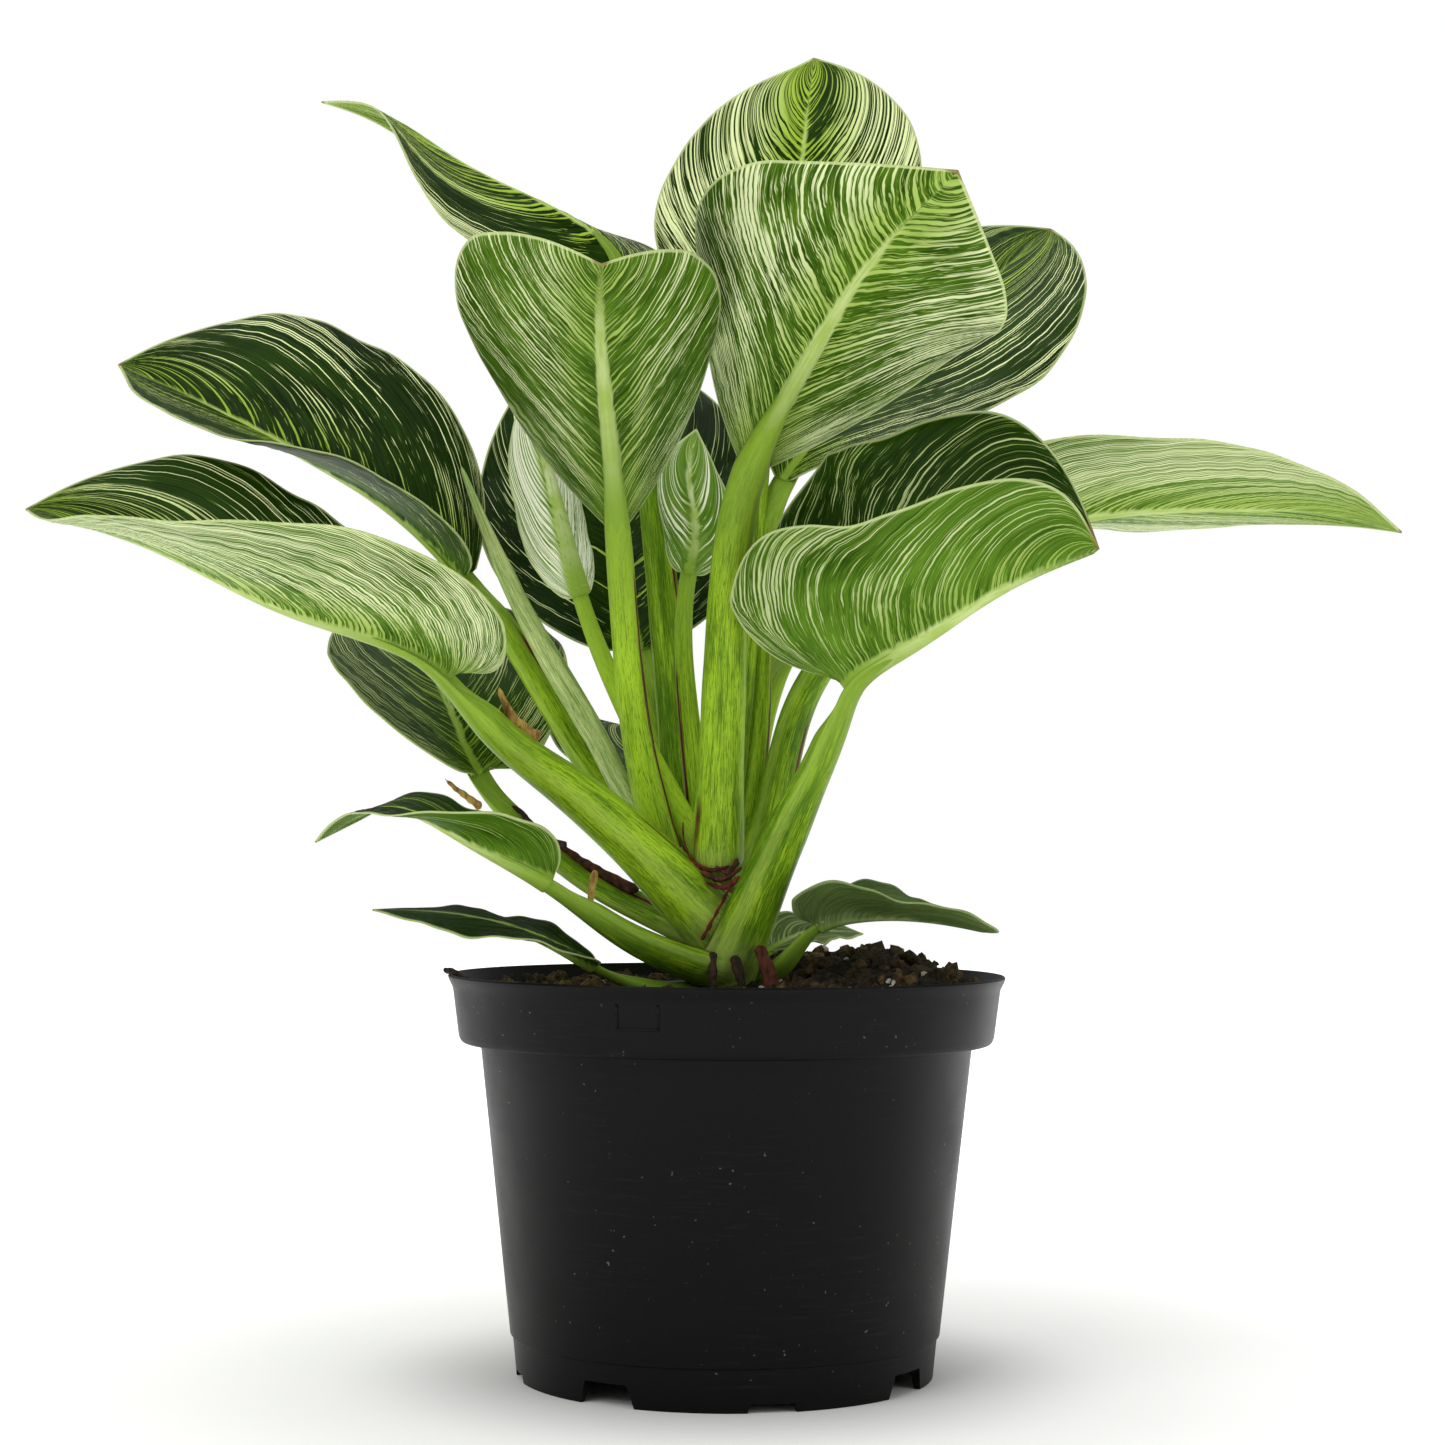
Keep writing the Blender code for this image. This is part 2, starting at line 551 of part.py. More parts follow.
def pot_profile():
    """The pot's section, from the middle of its underside round the outside to the middle of its floor."""
    lip = 1.2
    inner_foot = BODY_BOTTOM_RADIUS - WALL
    inner_body = BODY_TOP_RADIUS - WALL
    inner_band = BAND_BOTTOM_RADIUS - WALL
    return (
        (0, FLOOR_BOTTOM), (FOOT_RADIUS - 2.4, FLOOR_BOTTOM), (FOOT_RADIUS - 2.0, 0), (FOOT_RADIUS, 0),
        (FOOT_TOP_RADIUS, FOOT_LINE - 0.5), (BODY_BOTTOM_RADIUS, FOOT_LINE),
        (BODY_TOP_RADIUS, BAND_BOTTOM + 0.6), (BAND_BOTTOM_RADIUS - 1.2, BAND_BOTTOM),
        (BAND_BOTTOM_RADIUS, BAND_BOTTOM + 1.4), (BAND_TOP_RADIUS, POT_HEIGHT - 4.0),
        (LIP_RADIUS, POT_HEIGHT - lip), (LIP_RADIUS, POT_HEIGHT - 0.3), (LIP_RADIUS - 0.8, POT_HEIGHT),
        (BAND_TOP_RADIUS - WALL, POT_HEIGHT - 4.0), (inner_band, BAND_BOTTOM + 2.2),
        (inner_body, BAND_BOTTOM + 1.8), (inner_foot, FLOOR_TOP + 2.0), (inner_foot - 2.0, FLOOR_TOP),
        (0, FLOOR_TOP),
    )


def notch_cutter(name, notch, number):
    """A wedge through the foot ring, narrower at its top."""
    half, top = notch["width"] / 2, notch["width"] / 2 - notch["slant"]
    inner, outer = FOOT_RADIUS - notch["depth"], FOOT_RADIUS + 6
    section = ((-half, -3.0), (half, -3.0), (top, notch["height"]), (-top, notch["height"]))
    points = [(x, -radius, z) for radius in (outer, inner) for x, z in section]
    faces = [(0, 1, 2, 3), (7, 6, 5, 4), (0, 4, 5, 1), (1, 5, 6, 2), (2, 6, 7, 3), (3, 7, 4, 0)]
    angle = math.radians(notch["first_deg"] + 90 * number)
    return add_object(name, turned_about_axis(points, angle), faces)


def turned_about_axis(points, angle):
    """Points turned about the pot's axis."""
    cos, sin = math.cos(angle), math.sin(angle)
    return [(x * cos - y * sin, x * sin + y * cos, z) for x, y, z in points]


def drain_cutter(name, number):
    """A slot through the floor behind a tall notch."""
    wide, deep = DRAIN_HOLE[0] / 2, DRAIN_HOLE[1] / 2
    corners = ((-wide, -deep), (wide, -deep), (wide, deep), (-wide, deep))
    points = [(x, y - DRAIN_HOLE_RADIUS, z) for z in (FLOOR_BOTTOM - 3, FLOOR_TOP + 1.5) for x, y in corners]
    faces = [(3, 2, 1, 0), (4, 5, 6, 7), (0, 1, 5, 4), (1, 2, 6, 5), (2, 3, 7, 6), (3, 0, 4, 7)]
    angle = math.radians(TALL_NOTCH["first_deg"] + 90 * number)
    return add_object(name, turned_about_axis(points, angle), faces)


def build_pot(material):
    """The pot, with eight notches in its foot and a drain hole behind each of the four tall ones."""
    pot = add_object("pot", *turned_mesh(pot_profile(), POT_SIDES), material)
    cutters = [drain_cutter(f"drain_{i}", i) for i in range(4)]
    cutters += [notch_cutter(f"tall_notch_{i}", TALL_NOTCH, i) for i in range(4)]
    cutters += [notch_cutter(f"shallow_notch_{i}", SHALLOW_NOTCH, i) for i in range(4)]
    carve(pot, cutters)
    remove(cutters)
    return pot


def soil_height(x, y):
    """The soil's surface: a few millimetres under the lip, and heaped up on the right."""
    right, back = (x - MOUND_CENTRE[0]) / MOUND_SPREAD[0], (y - MOUND_CENTRE[1]) / MOUND_SPREAD[1]
    mound = math.exp(-right**2 - back**2)
    lumps = math.sin(0.31 * x + 1.1) * math.sin(0.27 * y + 0.4) + 0.6 * math.sin(0.53 * x - 0.41 * y)
    edge = min(1.0, max(0.0, (BAND_BOTTOM_RADIUS - math.hypot(x, y)) / 18))
    return SOIL_EDGE + (MOUND_RISE * mound + 0.8 * lumps) * edge * (2 - edge)


def build_soil(material):
    """The block of soil that fills the pot."""
    wall = WALL + SOIL_CLEARANCE
    band = BAND_BOTTOM_RADIUS - wall
    profile = [(0, FLOOR_TOP + 0.4), (BODY_BOTTOM_RADIUS - wall - 2.2, FLOOR_TOP + 0.4),
               (BODY_BOTTOM_RADIUS - wall, FLOOR_TOP + 3.0), (BODY_TOP_RADIUS - wall, BAND_BOTTOM + 2.2),
               (band - 0.4, BAND_BOTTOM + 3.4), (band + 0.6, SOIL_EDGE)]
    profile += [(band * share, SOIL_EDGE) for share in SOIL_RINGS] + [(0, SOIL_EDGE)]
    points, faces = turned_mesh(profile, SOIL_SIDES)
    points = [(x, y, soil_height(x, y) if z == SOIL_EDGE else z) for x, y, z in points]
    return add_object("soil", points, faces, material)


def remove(things):
    """Deletes helper objects."""
    for thing in things:
        bpy.data.objects.remove(thing)


def main():
    for thing in list(bpy.data.objects):
        bpy.data.objects.remove(thing)
    skins = {name: make_material(name) for name in SKINS}
    build_pot(skins["pot"])
    soil = build_soil(skins["soil"])
    cutters = [add_object("cut_stem", *stem_mesh(GAP))]
    add_object("stem", *stem_mesh(), skins["stalk"])
    for name, leaf in LEAVES.items():
        kind = "young_blade" if name in YOUNG_LEAVES else "old_blade" if name in OLD_LEAVES else "blade"
        blade = add_object(f"blade_{name}", *blade_mesh(leaf), skins[kind])
        stalk = add_object(f"stalk_{name}", *stalk_mesh(leaf), skins["stalk"])
        carve(stalk, cutters)
        cutters.append(add_object(f"cut_{name}", *stalk_mesh(leaf, GAP)))
        carve(blade, cutters[-1:])
    spear = add_object("rolled_leaf", *spear_mesh(), skins["young_blade"])
    carve(spear, cutters)
    cutters.append(add_object("cut_spear", *spear_mesh(GAP)))
    for name, scrap in SCRAPS.items():
        piece = add_object(name, *scrap_mesh(scrap), skins[scrap["skin"]])
        carve(piece, cutters)
        cutters.append(add_object(f"cut_{name}", *scrap_mesh(scrap, GAP)))
    carve(soil, cutters)
    remove(cutters)


main()
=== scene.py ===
"""Looks of a potted birkin philodendron: striped leaves on juicy green stalks in a plain black nursery pot.

Laid out as a Blender add-on and run as a script. The tables are in millimetres and degrees, and every mesh is
written in metres at its real place, with its object at the origin.
"""

import math
from functools import partial

import bpy
import numpy as np
from mathutils import Euler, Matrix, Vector


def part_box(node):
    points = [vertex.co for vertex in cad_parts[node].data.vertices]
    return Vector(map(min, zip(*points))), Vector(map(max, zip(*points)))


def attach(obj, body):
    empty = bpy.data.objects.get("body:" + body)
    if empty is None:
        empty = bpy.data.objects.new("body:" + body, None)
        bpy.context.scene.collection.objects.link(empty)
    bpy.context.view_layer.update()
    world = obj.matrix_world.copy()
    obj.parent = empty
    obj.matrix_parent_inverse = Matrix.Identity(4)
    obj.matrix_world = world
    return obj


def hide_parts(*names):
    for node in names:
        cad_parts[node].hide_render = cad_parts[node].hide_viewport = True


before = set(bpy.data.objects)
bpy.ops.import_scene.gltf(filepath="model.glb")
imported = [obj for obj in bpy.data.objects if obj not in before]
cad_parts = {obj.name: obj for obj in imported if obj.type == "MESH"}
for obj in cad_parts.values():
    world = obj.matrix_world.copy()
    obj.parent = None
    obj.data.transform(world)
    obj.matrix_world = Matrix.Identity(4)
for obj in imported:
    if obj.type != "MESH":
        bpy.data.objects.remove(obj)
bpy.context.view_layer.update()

bl_info = {
    "name": "Potted Birkin Philodendron",
    "version": (1, 0, 0),
    "blender": (4, 5, 0),
    "location": "View3D > Sidebar > Birkin",
    "description": "Builds the leaves, stalks, pot and soil of a potted birkin philodendron round its frame",
    "category": "Object",
}

MM = 0.001
BODY = "root"

# Half outlines, from the stalk to the tip: (share of the length, share of the half width)
OUTLINES = dict(
    ovate=((0, 0.09), (0, 0.28), (0.045, 0.56), (0.15, 0.83), (0.32, 1), (0.52, 0.96), (0.72, 0.70),
           (0.87, 0.36), (0.95, 0.13), (1, 0.006)),
    broad=((0, 0.09), (0.045, 0.28), (0.13, 0.55), (0.28, 0.83), (0.48, 1), (0.68, 0.97), (0.84, 0.72),
           (0.94, 0.38), (0.98, 0.15), (1, 0.006)),
    lobed=((0, 0.09), (-0.05, 0.30), (-0.02, 0.60), (0.09, 0.88), (0.27, 1), (0.48, 0.93), (0.70, 0.64),
           (0.86, 0.31), (0.945, 0.12), (1, 0.006)),
    cupped=((0, 0.09), (-0.05, 0.32), (-0.02, 0.66), (0.08, 0.92), (0.24, 1), (0.46, 0.97), (0.70, 0.88),
            (0.89, 0.70), (0.975, 0.40), (1, 0.006)),
    blunt=((0, 0.09), (-0.06, 0.40), (-0.04, 0.78), (0.06, 1), (0.22, 1), (0.42, 0.88), (0.64, 0.76),
           (0.84, 0.66), (0.96, 0.44), (1, 0.006)),
    taper=((0, 0.09), (0, 0.28), (0.045, 0.56), (0.14, 0.83), (0.29, 1), (0.45, 0.92), (0.62, 0.62),
           (0.78, 0.30), (0.90, 0.10), (1, 0.006)),
)

# Leaves, from the front to the back. stalk and rib are points up the stalk and on along the midrib in mm;
# half_width is left and right of the midrib; face is the way the upper side looks at the base, the middle and
# the tip; fold and curl are how far each half is turned up at the midrib and bent on towards its margin, in
# degrees at the base, the middle and the tip; thick is the stalk's width and height at the foot and the top.
FLAT = ((0, 0, 0), (0, 0, 0))
LEAVES = dict(
    left_twisted=dict(
        outline=("ovate", "ovate"), thick=((16, 11), (7, 6)), half_width=(19, 20),
        stalk=((-3, -22, 119), (-30, -40, 131), (-50, -50, 145)),
        rib=((-72, -55, 157), (-95, -50, 166), (-117, -40, 156)),
        face=((0, 0.2, 1), (0, 0.2, 1), (0, 0.2, 1)), fold=((70, -8, -10), (50, 30, 10)),
    ),
    right_cupped=dict(
        outline=("cupped", "blunt"), thick=((20, 18), (9, 8)), half_width=(60, 45),
        stalk=((2, -20, 125), (18.7, -36, 164.3), (30, -48, 190.3), (34, -52, 200)),
        rib=((49, -62, 211), (74, -72, 226), (100, -80, 237)),
        face=((-0.5, 0, 1), (-0.5, 0, 1), (-0.5, 0, 1)), fold=((70, 75, 60), (80, 58, 62)),
        curl=((0, 0, 20), (0, 0, 0)),
    ),
    left_long=dict(
        outline=("lobed", "broad"), thick=((22, 22), (11, 9)), half_width=(50, 38),
        stalk=((-4, -14, 134), (-45, -30, 172), (-68, -37, 190.3), (-79, -40, 203)),
        rib=((-122, -42, 221), (-164, -30, 240), (-208, -10, 254)),
        face=((0.3, -0.25, 1), (0.2, -0.25, 1), (0.2, -0.25, 1)), fold=((50, 28, -5), (35, 42, 40)),
    ),
    front_right=dict(
        outline=("broad", "broad"), thick=((16, 14), (10, 9)), half_width=(40, 46),
        stalk=((-3, -16, 148), (-0.8, -30, 212), (6, -45, 262)),
        rib=((18, -60, 284), (35, -95, 308), (57, -140, 325)),
        face=((0.3, 0.7, 0.5), (0.4, 0.5, 0.8), (0.4, 0.5, 0.8)), fold=((45, 18, -20), (30, 2, -25)),
    ),
    front_left=dict(
        outline=("broad", "broad"), thick=((11, 10), (7.5, 7)), half_width=(36, 45),
        stalk=((-16.5, 1, 147), (-23.5, -8, 171.7), (-28, -20, 198), (-32, -34, 246)),
        rib=((-34, -52, 272), (-35, -85, 293), (-33, -125, 304)),
        face=((0, 1, 0.3), (0, 1, 1), (0, 0.6, 1)), fold=((45, 28, 34), (45, 28, 34)),
    ),
    low_right=dict(
        outline=("cupped", "cupped"), thick=((9, 7), (6, 5)), half_width=(18, 20),
        stalk=((7, -10, 115), (17, -22, 122), (26, -28, 133)),
        rib=((38, -30, 136), (57, -30, 135), (76, -24, 131)), face=((0, 0, 1), (0, 0, 1), (0, 0, 1)),
        fold=((30, 25, 10), (35, 15, 0)),
    ),
    low_left=dict(
        outline=("ovate", "ovate"), thick=((7, 6), (5, 5)), half_width=(16, 16),
        stalk=((-11, -20, 114), (-25, -36, 116), (-37, -42, 122)),
        rib=((-50, -46, 129), (-75, -48, 136), (-100, -44, 137)),
        face=((0, -0.1, 1), (0, -0.1, 1), (0, -0.1, 1)), fold=((10, -10, -10), (20, 2, 0)),
    ),
    left_upper=dict(
        outline=("ovate", "broad"), thick=((16, 11), (8, 7)), half_width=(40, 44),
        stalk=((-14, 7, 145), (-47.5, 6, 190), (-79, 6, 236)),
        rib=((-103, 8, 258), (-132, 12, 275), (-161, 18, 290), (-190, 30, 304)),
        face=((0.3, -0.6, 1), (0.2, -0.6, 1), (0.2, -0.6, 1)), fold=((55, 25, 5), (50, 48, 30)),
        curl=((0, 0, 0), (-10, -20, -20)),
    ),
    young_curled=dict(
        outline=("ovate", "ovate"), thick=((8, 7), (5, 5)), half_width=(14, 14),
        stalk=((-7, 2, 154), (-12, 2, 196), (-12, 4, 237)),
        rib=((-10, 2, 250), (-12, 2, 265), (-10, 6, 281)), face=((0, 1, 0.2), (0, 1, 0.2), (0, 1, 0.2)),
        fold=((20, 10, 10), (20, 10, 10)), curl=((60, 60, 40), (60, 60, 40)),
    ),
    young_pale=dict(
        outline=("ovate", "ovate"), thick=((8, 7), (5, 5)), half_width=(26, 14),
        stalk=((-8, 0, 154), (-29, -4, 193), (-44, -10, 229)),
        rib=((-50, -10, 251), (-56, -6, 275), (-60, 2, 296)),
        face=((-0.5, 1, 0.2), (-0.5, 1, 0.2), (-0.5, 1, 0.2)), fold=((50, 50, 40), (50, 50, 40)),
    ),
    right_far=dict(
        outline=("ovate", "ovate"), thick=((13, 12), (9, 8)), half_width=(36, 36),
        stalk=((4, 4, 139), (14.5, 6, 171.3), (22, 6, 199), (51, 4, 232)),
        rib=((112, 6, 256), (154, 14, 259), (187, 20, 258), (207, 24, 253)),
        face=((-0.2, 0.35, 1), (0, 0.35, 1), (0, 0.35, 1)), fold=((30, 16, 10), (30, 12, 6)),
    ),
    left_shaded=dict(
        outline=("ovate", "lobed"), thick=((12, 9), (7, 6)), half_width=(34, 40),
        stalk=((-11, 12, 130), (-51, 22, 151), (-76, 22, 177)),
        rib=((-85, 35, 194), (-99, 65, 218), (-116, 105, 239)),
        face=((0, -0.6, 1), (0, -0.6, 1), (0, -0.6, 1)), fold=((35, 15, 10), (35, 15, 10)),
    ),
    back_right=dict(
        outline=("broad", "broad"), thick=((14, 10), (8, 7)), half_width=(40, 44),
        stalk=((1, 10, 148), (8, 20, 200), (17, 30, 269)),
        rib=((44, 45, 298), (76, 65, 331), (106, 85, 360)),
        face=((-0.4, -1, 0.8), (-0.4, -1, 0.8), (-0.4, -1, 0.8)), fold=((25, 10, 10), (20, 5, 10)),
        curl=((0, -10, 0), (0, -10, 0)),
    ),
    back_top=dict(
        outline=("ovate", "broad"), thick=((14, 10), (7, 6)), half_width=(44, 38),
        stalk=((-4, 8, 151), (5, 20, 231), (13, 35, 307)),
        rib=((19, 40, 340), (23, 50, 377), (27, 68, 412)),
        face=((0, -1, 0.2), (0, -1, 0.3), (0, -1, 0.3)), fold=((25, 10, 10), (25, 10, 10)),
        curl=((-10, -15, 0), (-10, -15, 0)),
    ),
    back_left=dict(
        outline=("taper", "taper"), thick=((14, 10), (7, 6)), half_width=(30, 32),
        stalk=((-11, 10, 151), (-20, 25, 231), (-31, 40, 320)),
        rib=((-38, 45, 344), (-61, 50, 361), (-88, 58, 376), (-111, 68, 392), (-135, 80, 400)),
        face=((0, -0.8, 1), (0, -0.4, 1), (0, 0.8, 0.7)), fold=((-20, -25, 0), (-20, -30, 0)),
    ),
    right_hidden=dict(
        outline=("ovate", "ovate"), thick=((14, 11), (10, 8)), half_width=(40, 40),
        stalk=((5, 13, 146), (9.3, 33, 195.9), (17.5, 45, 216.4)),
        rib=((27, 65, 226), (39, 95, 238), (52, 130, 246)),
        face=((0, -0.5, 1), (0, -0.5, 1), (0, -0.5, 1)), fold=((30, 20, 10), (30, 20, 10)),
    ),
    low_back=dict(
        outline=("ovate", "ovate"), thick=((12, 9), (7, 6)), half_width=(34, 34),
        stalk=((-7, 12, 139), (-18, 30, 154), (-24, 50, 167)),
        rib=((-27, 80, 180), (-26, 110, 191), (-24, 140, 195)),
        face=((0, -0.4, 1), (0, -0.4, 1), (0, -0.4, 1)), fold=((30, 20, 10), (30, 20, 10)),
    ),
    back_dark=dict(
        outline=("ovate", "ovate"), thick=((14, 10), (8, 7)), half_width=(44, 50),
        stalk=((-8, 14, 151), (-19, 30, 182), (-28, 45, 217)),
        rib=((-35, 60, 253), (-43, 85, 296), (-50, 120, 332)),
        face=((0, -1, 0.4), (0, -1, 0.4), (0, -1, 0.6)), fold=((20, 5, 0), (20, 5, 0)),
        curl=((0, -20, 0), (0, -20, 0)),
    ),
    old_pale=dict(
        outline=("ovate", "ovate"), thick=((5, 4), (4, 3)), half_width=(12, 12),
        stalk=((3, 10, 114), (7, 22, 119), (13, 34, 123)),
        rib=((23, 42, 128), (32, 46, 129), (43, 50, 128)),
        face=((0, -0.4, 1), (0, -0.4, 1), (0, -0.4, 1)), fold=((20, 10, 0), (20, 10, 0)),
    ),
)

# How each leaf is coloured: its skin, how much of it is striped, and how much lighter (+) or darker (-) it is
FINISH = dict(
    left_twisted=("mature", -0.05, 0.10), right_cupped=("mature", 0.00, 0.14),
    left_long=("mature", -0.01, 0.04), front_right=("mature", 0.06, -0.04), front_left=("mature", 0.02, 0.02),
    low_right=("old", -0.10, 0.00), low_left=("mature", -0.20, -0.05), left_upper=("mature", -0.02, -0.04),
    young_curled=("young", -0.03, 0.00), young_pale=("young", 0.10, 0.10), right_far=("mature", 0.09, 0.18),
    # left_shaded's tone of 0.45 is painted light: the leaf's colour is lifted to make up for the shade it
    # lies in
    left_shaded=("mature", 0.03, 0.45), back_right=("mature", 0.01, 0.14), back_top=("mature", 0.09, 0.00),
    back_left=("mature", 0.06, 0.00), right_hidden=("mature", -0.05, -0.08), low_back=("mature", -0.02, 0.00),
    back_dark=("mature", -0.04, -0.05), old_pale=("old", 0.04, 0.30),
)

# Leaves whose stripes are fainter, by how much
FAINT = dict(right_cupped=0.32, front_left=0.10, low_right=0.80, low_left=0.60, left_shaded=0.30,
             old_pale=0.30, left_twisted=0.40)

# Leaves whose underside differs more: how much more of it is striped, and how much lighter or darker it is
UNDER_LOOK = dict(left_upper=(-0.08, -0.12), left_long=(0.08, 0.08), back_dark=(0.0, -0.10),
                  right_cupped=(0.02, -0.04))

# Stalks that are lighter (+) or darker (-) than the rest
STALK_TONE = dict(
    right_cupped=-0.07, young_pale=0.16, front_left=0.05, low_left=-0.28, left_twisted=-0.08,
    left_shaded=-0.05, low_right=-0.10, low_back=-0.10, right_far=-0.05, back_left=-0.07, back_top=-0.04,
    old_pale=-0.10,
)

# Red-brown sheath edges: which way from the stalk's middle they lie, and where up it they start and end in mm
RED_LINES = dict(
    front_left=((1, -0.35, 0), 0, 96), front_right=((-1, -0.6, 0), 0, 24),
    left_long=((0.6, -0.5, 0.8), 3, 42), right_cupped=((-1, -0.3, 0.2), 0, 16),
    left_upper=((1, -0.5, 0.5), 6, 92), back_left=((1, -0.6, 0), 0, 130),
    back_right=((1, -0.5, 0), 0, 90), right_far=((1, -0.5, 0), 0, 60),
    young_curled=((-1, -0.6, 0), 4, 58), young_pale=((-1, -0.5, 0), 24, 40),
    left_shaded=((0, -0.6, 1), 0, 44), left_twisted=((0.4, -0.5, 1), 0, 26),
    right_hidden=((1, -0.7, 0), 4, 44),
)

# The newest leaf, still rolled into a spear: points up its middle and the radius at each
SPEAR_LINE = ((-14, -2, 151), (-30, -4, 170), (-38, -4, 185), (-52, -4, 209), (-67, -4, 237), (-80, -4, 268))
SPEAR_RADII = (3.2, 3.4, 3.6, 3.6, 2.6, 0.6)

# Stem: points up its middle and the radius at each
STEM_LINE = ((5, -2, 84), (3, -3, 108), (-1, 0, 130), (-6, 4, 150))
STEM_RADII = (9.0, 9.5, 9.0, 6.0)

# Roots and dry sheaths: points, (width, height) at each end, the way the flat side looks, and finish
SCRAPS = dict(
    root_front=dict(line=((-4, -30, 125), (-4, -33, 119), (-3, -33, 108)), thick=((2.6, 2.6), (1.8, 1.8)),
                    face=(0, -1, 0), skin="root"),
    root_front_right=dict(line=((2, -30, 124), (4, -32, 117), (5, -32, 107)), thick=((3, 3), (2, 2)),
                          face=(0, -1, 0), skin="root"),
    dry_sheath=dict(line=((9, -31, 127), (12, -32, 119), (14, -32, 109)), thick=((3, 1.6), (6, 2.2)),
                    face=(0.3, -1, 0), skin="dry_sheath"),
    dry_bract_left=dict(line=((-27, 15, 141.5), (-39, 19, 147.6), (-54, 22, 157)), thick=((5, 2.2), (2, 1.6)),
                        face=(-0.5, -0.2, 1), skin="dry_sheath"),
)

# Finishes of roots and dry scraps: slot, material, dark and light colour, and how coarse the fibres are
DRY_SKINS = dict(
    root=("root_bark", "aerial_root_bark", "#120b06", "#3f2c1c", 1.0),
    dry_sheath=("dry_sheath", "dry_papery_sheath", "#180c07", "#5a2f1d", 0.8),
    sheath_edge=("dry_sheath", "fresh_sheath_edge", "#330c0a", "#6a281d", 0.6),
    tan_scrap=("dry_sheath", "withered_leaf_scrap", "#5e3c18", "#b79a4e", 0.6),
)

# Small scraps that are only in the looks, given in the same way
CLUMP_SCRAPS = dict(
    sheath_edge_right=dict(line=((1.4, -29, 145), (-1.5, -28, 138.9), (-4.9, -26, 132.6), (-7.2, -24, 128.2)),
                           thick=((0.8, 1.2), (1.0, 1.8)), face=(0, -1, 0), skin="sheath_edge"),
    sheath_edge_ring=dict(line=((-13, -17, 162.3), (-12.3, -19, 155.3), (-9.1, -21, 150.3),
                                (-4.4, -22.5, 148.2), (0.8, -22, 150)),
                          thick=((0.5, 1.0), (1.2, 2.0)), face=(0, -1, 0), skin="sheath_edge"),
    sheath_edge_left=dict(line=((-25.5, -20, 164.2), (-21, -21, 158.7), (-16, -22, 154.4),
                                (-7.9, -23, 148.9)),
                          thick=((0.4, 0.8), (0.8, 1.6)), face=(0, -1, 0), skin="sheath_edge"),
    dry_ring_upper=dict(line=((-7.3, -24, 147.8), (-2.1, -26.5, 145.6), (4.3, -25, 149.3)),
                        thick=((1.6, 2.6), (1.0, 2.2)), face=(0, -1, 0.3), skin="dry_sheath"),
    dry_ring_lower=dict(line=((-6.1, -26, 144.9), (-0.9, -28, 143.4), (4, -27, 146.7)),
                        thick=((0.8, 2.0), (1.4, 2.4)), face=(0, -1, -0.3), skin="sheath_edge"),
    dry_ring_flake=dict(line=((-3.3, -23, 149.5), (0.2, -25.5, 147.6), (3.1, -24, 151.8)),
                        thick=((0.8, 1.6), (1.8, 0.8)), face=(0.3, -1, 0), skin="dry_sheath"),
    dry_tip_left=dict(line=((-54, -33, 185.5), (-60.7, -34, 190.5), (-63.5, -35, 195), (-65.5, -36, 200.4)),
                      thick=((4.6, 1.6), (1.4, 1.0)), face=(-0.6, -1, 0), skin="tan_scrap"),
    twig_upright=dict(line=((-38.6, -40, 137), (-38.3, -40, 143.5), (-37.2, -41, 148.3)),
                      thick=((1.6, 1.4), (2.4, 1.8)), face=(0, -1, 0), skin="tan_scrap"),
    tendril_left=dict(line=((-69.4, 20, 166.5), (-63.5, 19, 165.8), (-59.7, 17, 161.4), (-55.4, 16, 158),
                            (-48.6, 14, 155)),
                      thick=((1.2, 1.0), (2.2, 1.6)), face=(0, -1, 0), skin="root"),
    tan_tip_left=dict(line=((-75.2, 20, 166.4), (-79.5, 19.5, 169.8), (-83, 19, 172.4), (-86, 18, 175.2)),
                      thick=((3.0, 1.6), (0.8, 0.8)), face=(0, -1, 0), skin="tan_scrap"),
    rim_twig_left=dict(line=((-82.6, -9, 118.7), (-79.2, -13, 117.7), (-72.7, -19, 114.2)),
                       thick=((3.2, 1.8), (1.2, 1.0)), face=(0, 0, 1), skin="root"),
)

# How a stalk narrows from its foot up, its width and height in mm where it ends under the midrib, and how far
# in mm its ends are rounded
STALK_TAPER = 1.2
STALK_END = (3.0, 2.4)
STALK_ROUNDING = 5.0

# How full a stalk's upper half is on the way up and at the blade, over how many mm that changes, and how deep
# the channel in it is
STALK_KEEL = (0.9, -0.12)
KEEL_REACH = 18
STALK_CHANNEL = 0.12

# From where to where along a stalk, in mm from its blade, it takes on the midrib's colour
BLADE_TINT = (-45, 5)

# How far in mm a stalk's foot runs on into the clump, and the stalks where it runs further or less far
FOOT_RUN = 6.0
OTHER_FOOT_RUN = dict(right_cupped=12.0, left_long=7.0, front_right=0.5, front_left=3.0, left_twisted=8.0)

# Sides round the stem and the rolled leaf, and round a scrap
STEM_SIDES = 48
SCRAP_SIDES = 24

# Stem: distance of its rings in mm, and how far they and its bumps stand out, as shares of its radius
RING_SPACING = 7.0
RING_RELIEF = 0.03

# Rolled leaf: mm up it for one turn of its free margin, how much it widens within a turn, and the step there
ROLL_PITCH = 95.0
ROLL_WIDENING = 0.12
ROLL_STEP = 0.10

# Scraps: the channel in them, and the wave length in mm and height of their swells and of their fibres, the
# swells as a share of the thickness and the fibres in mm
SCRAP_CHANNEL = 0.2
SCRAP_SWELLS = (5, 0.12)
SCRAP_FIBRES = (2.5, 0.15)

# How the rows of a blade's grid lie: the power at which they leave the midrib, and how far their middle is
# pulled along and out
ROW_SPREAD = 1.35
ROW_PULL = (0.46, 0.64)

# How a blade's points crowd towards its midrib and its base
COLUMN_POWER = 1.6
ROW_POWER = 1.1

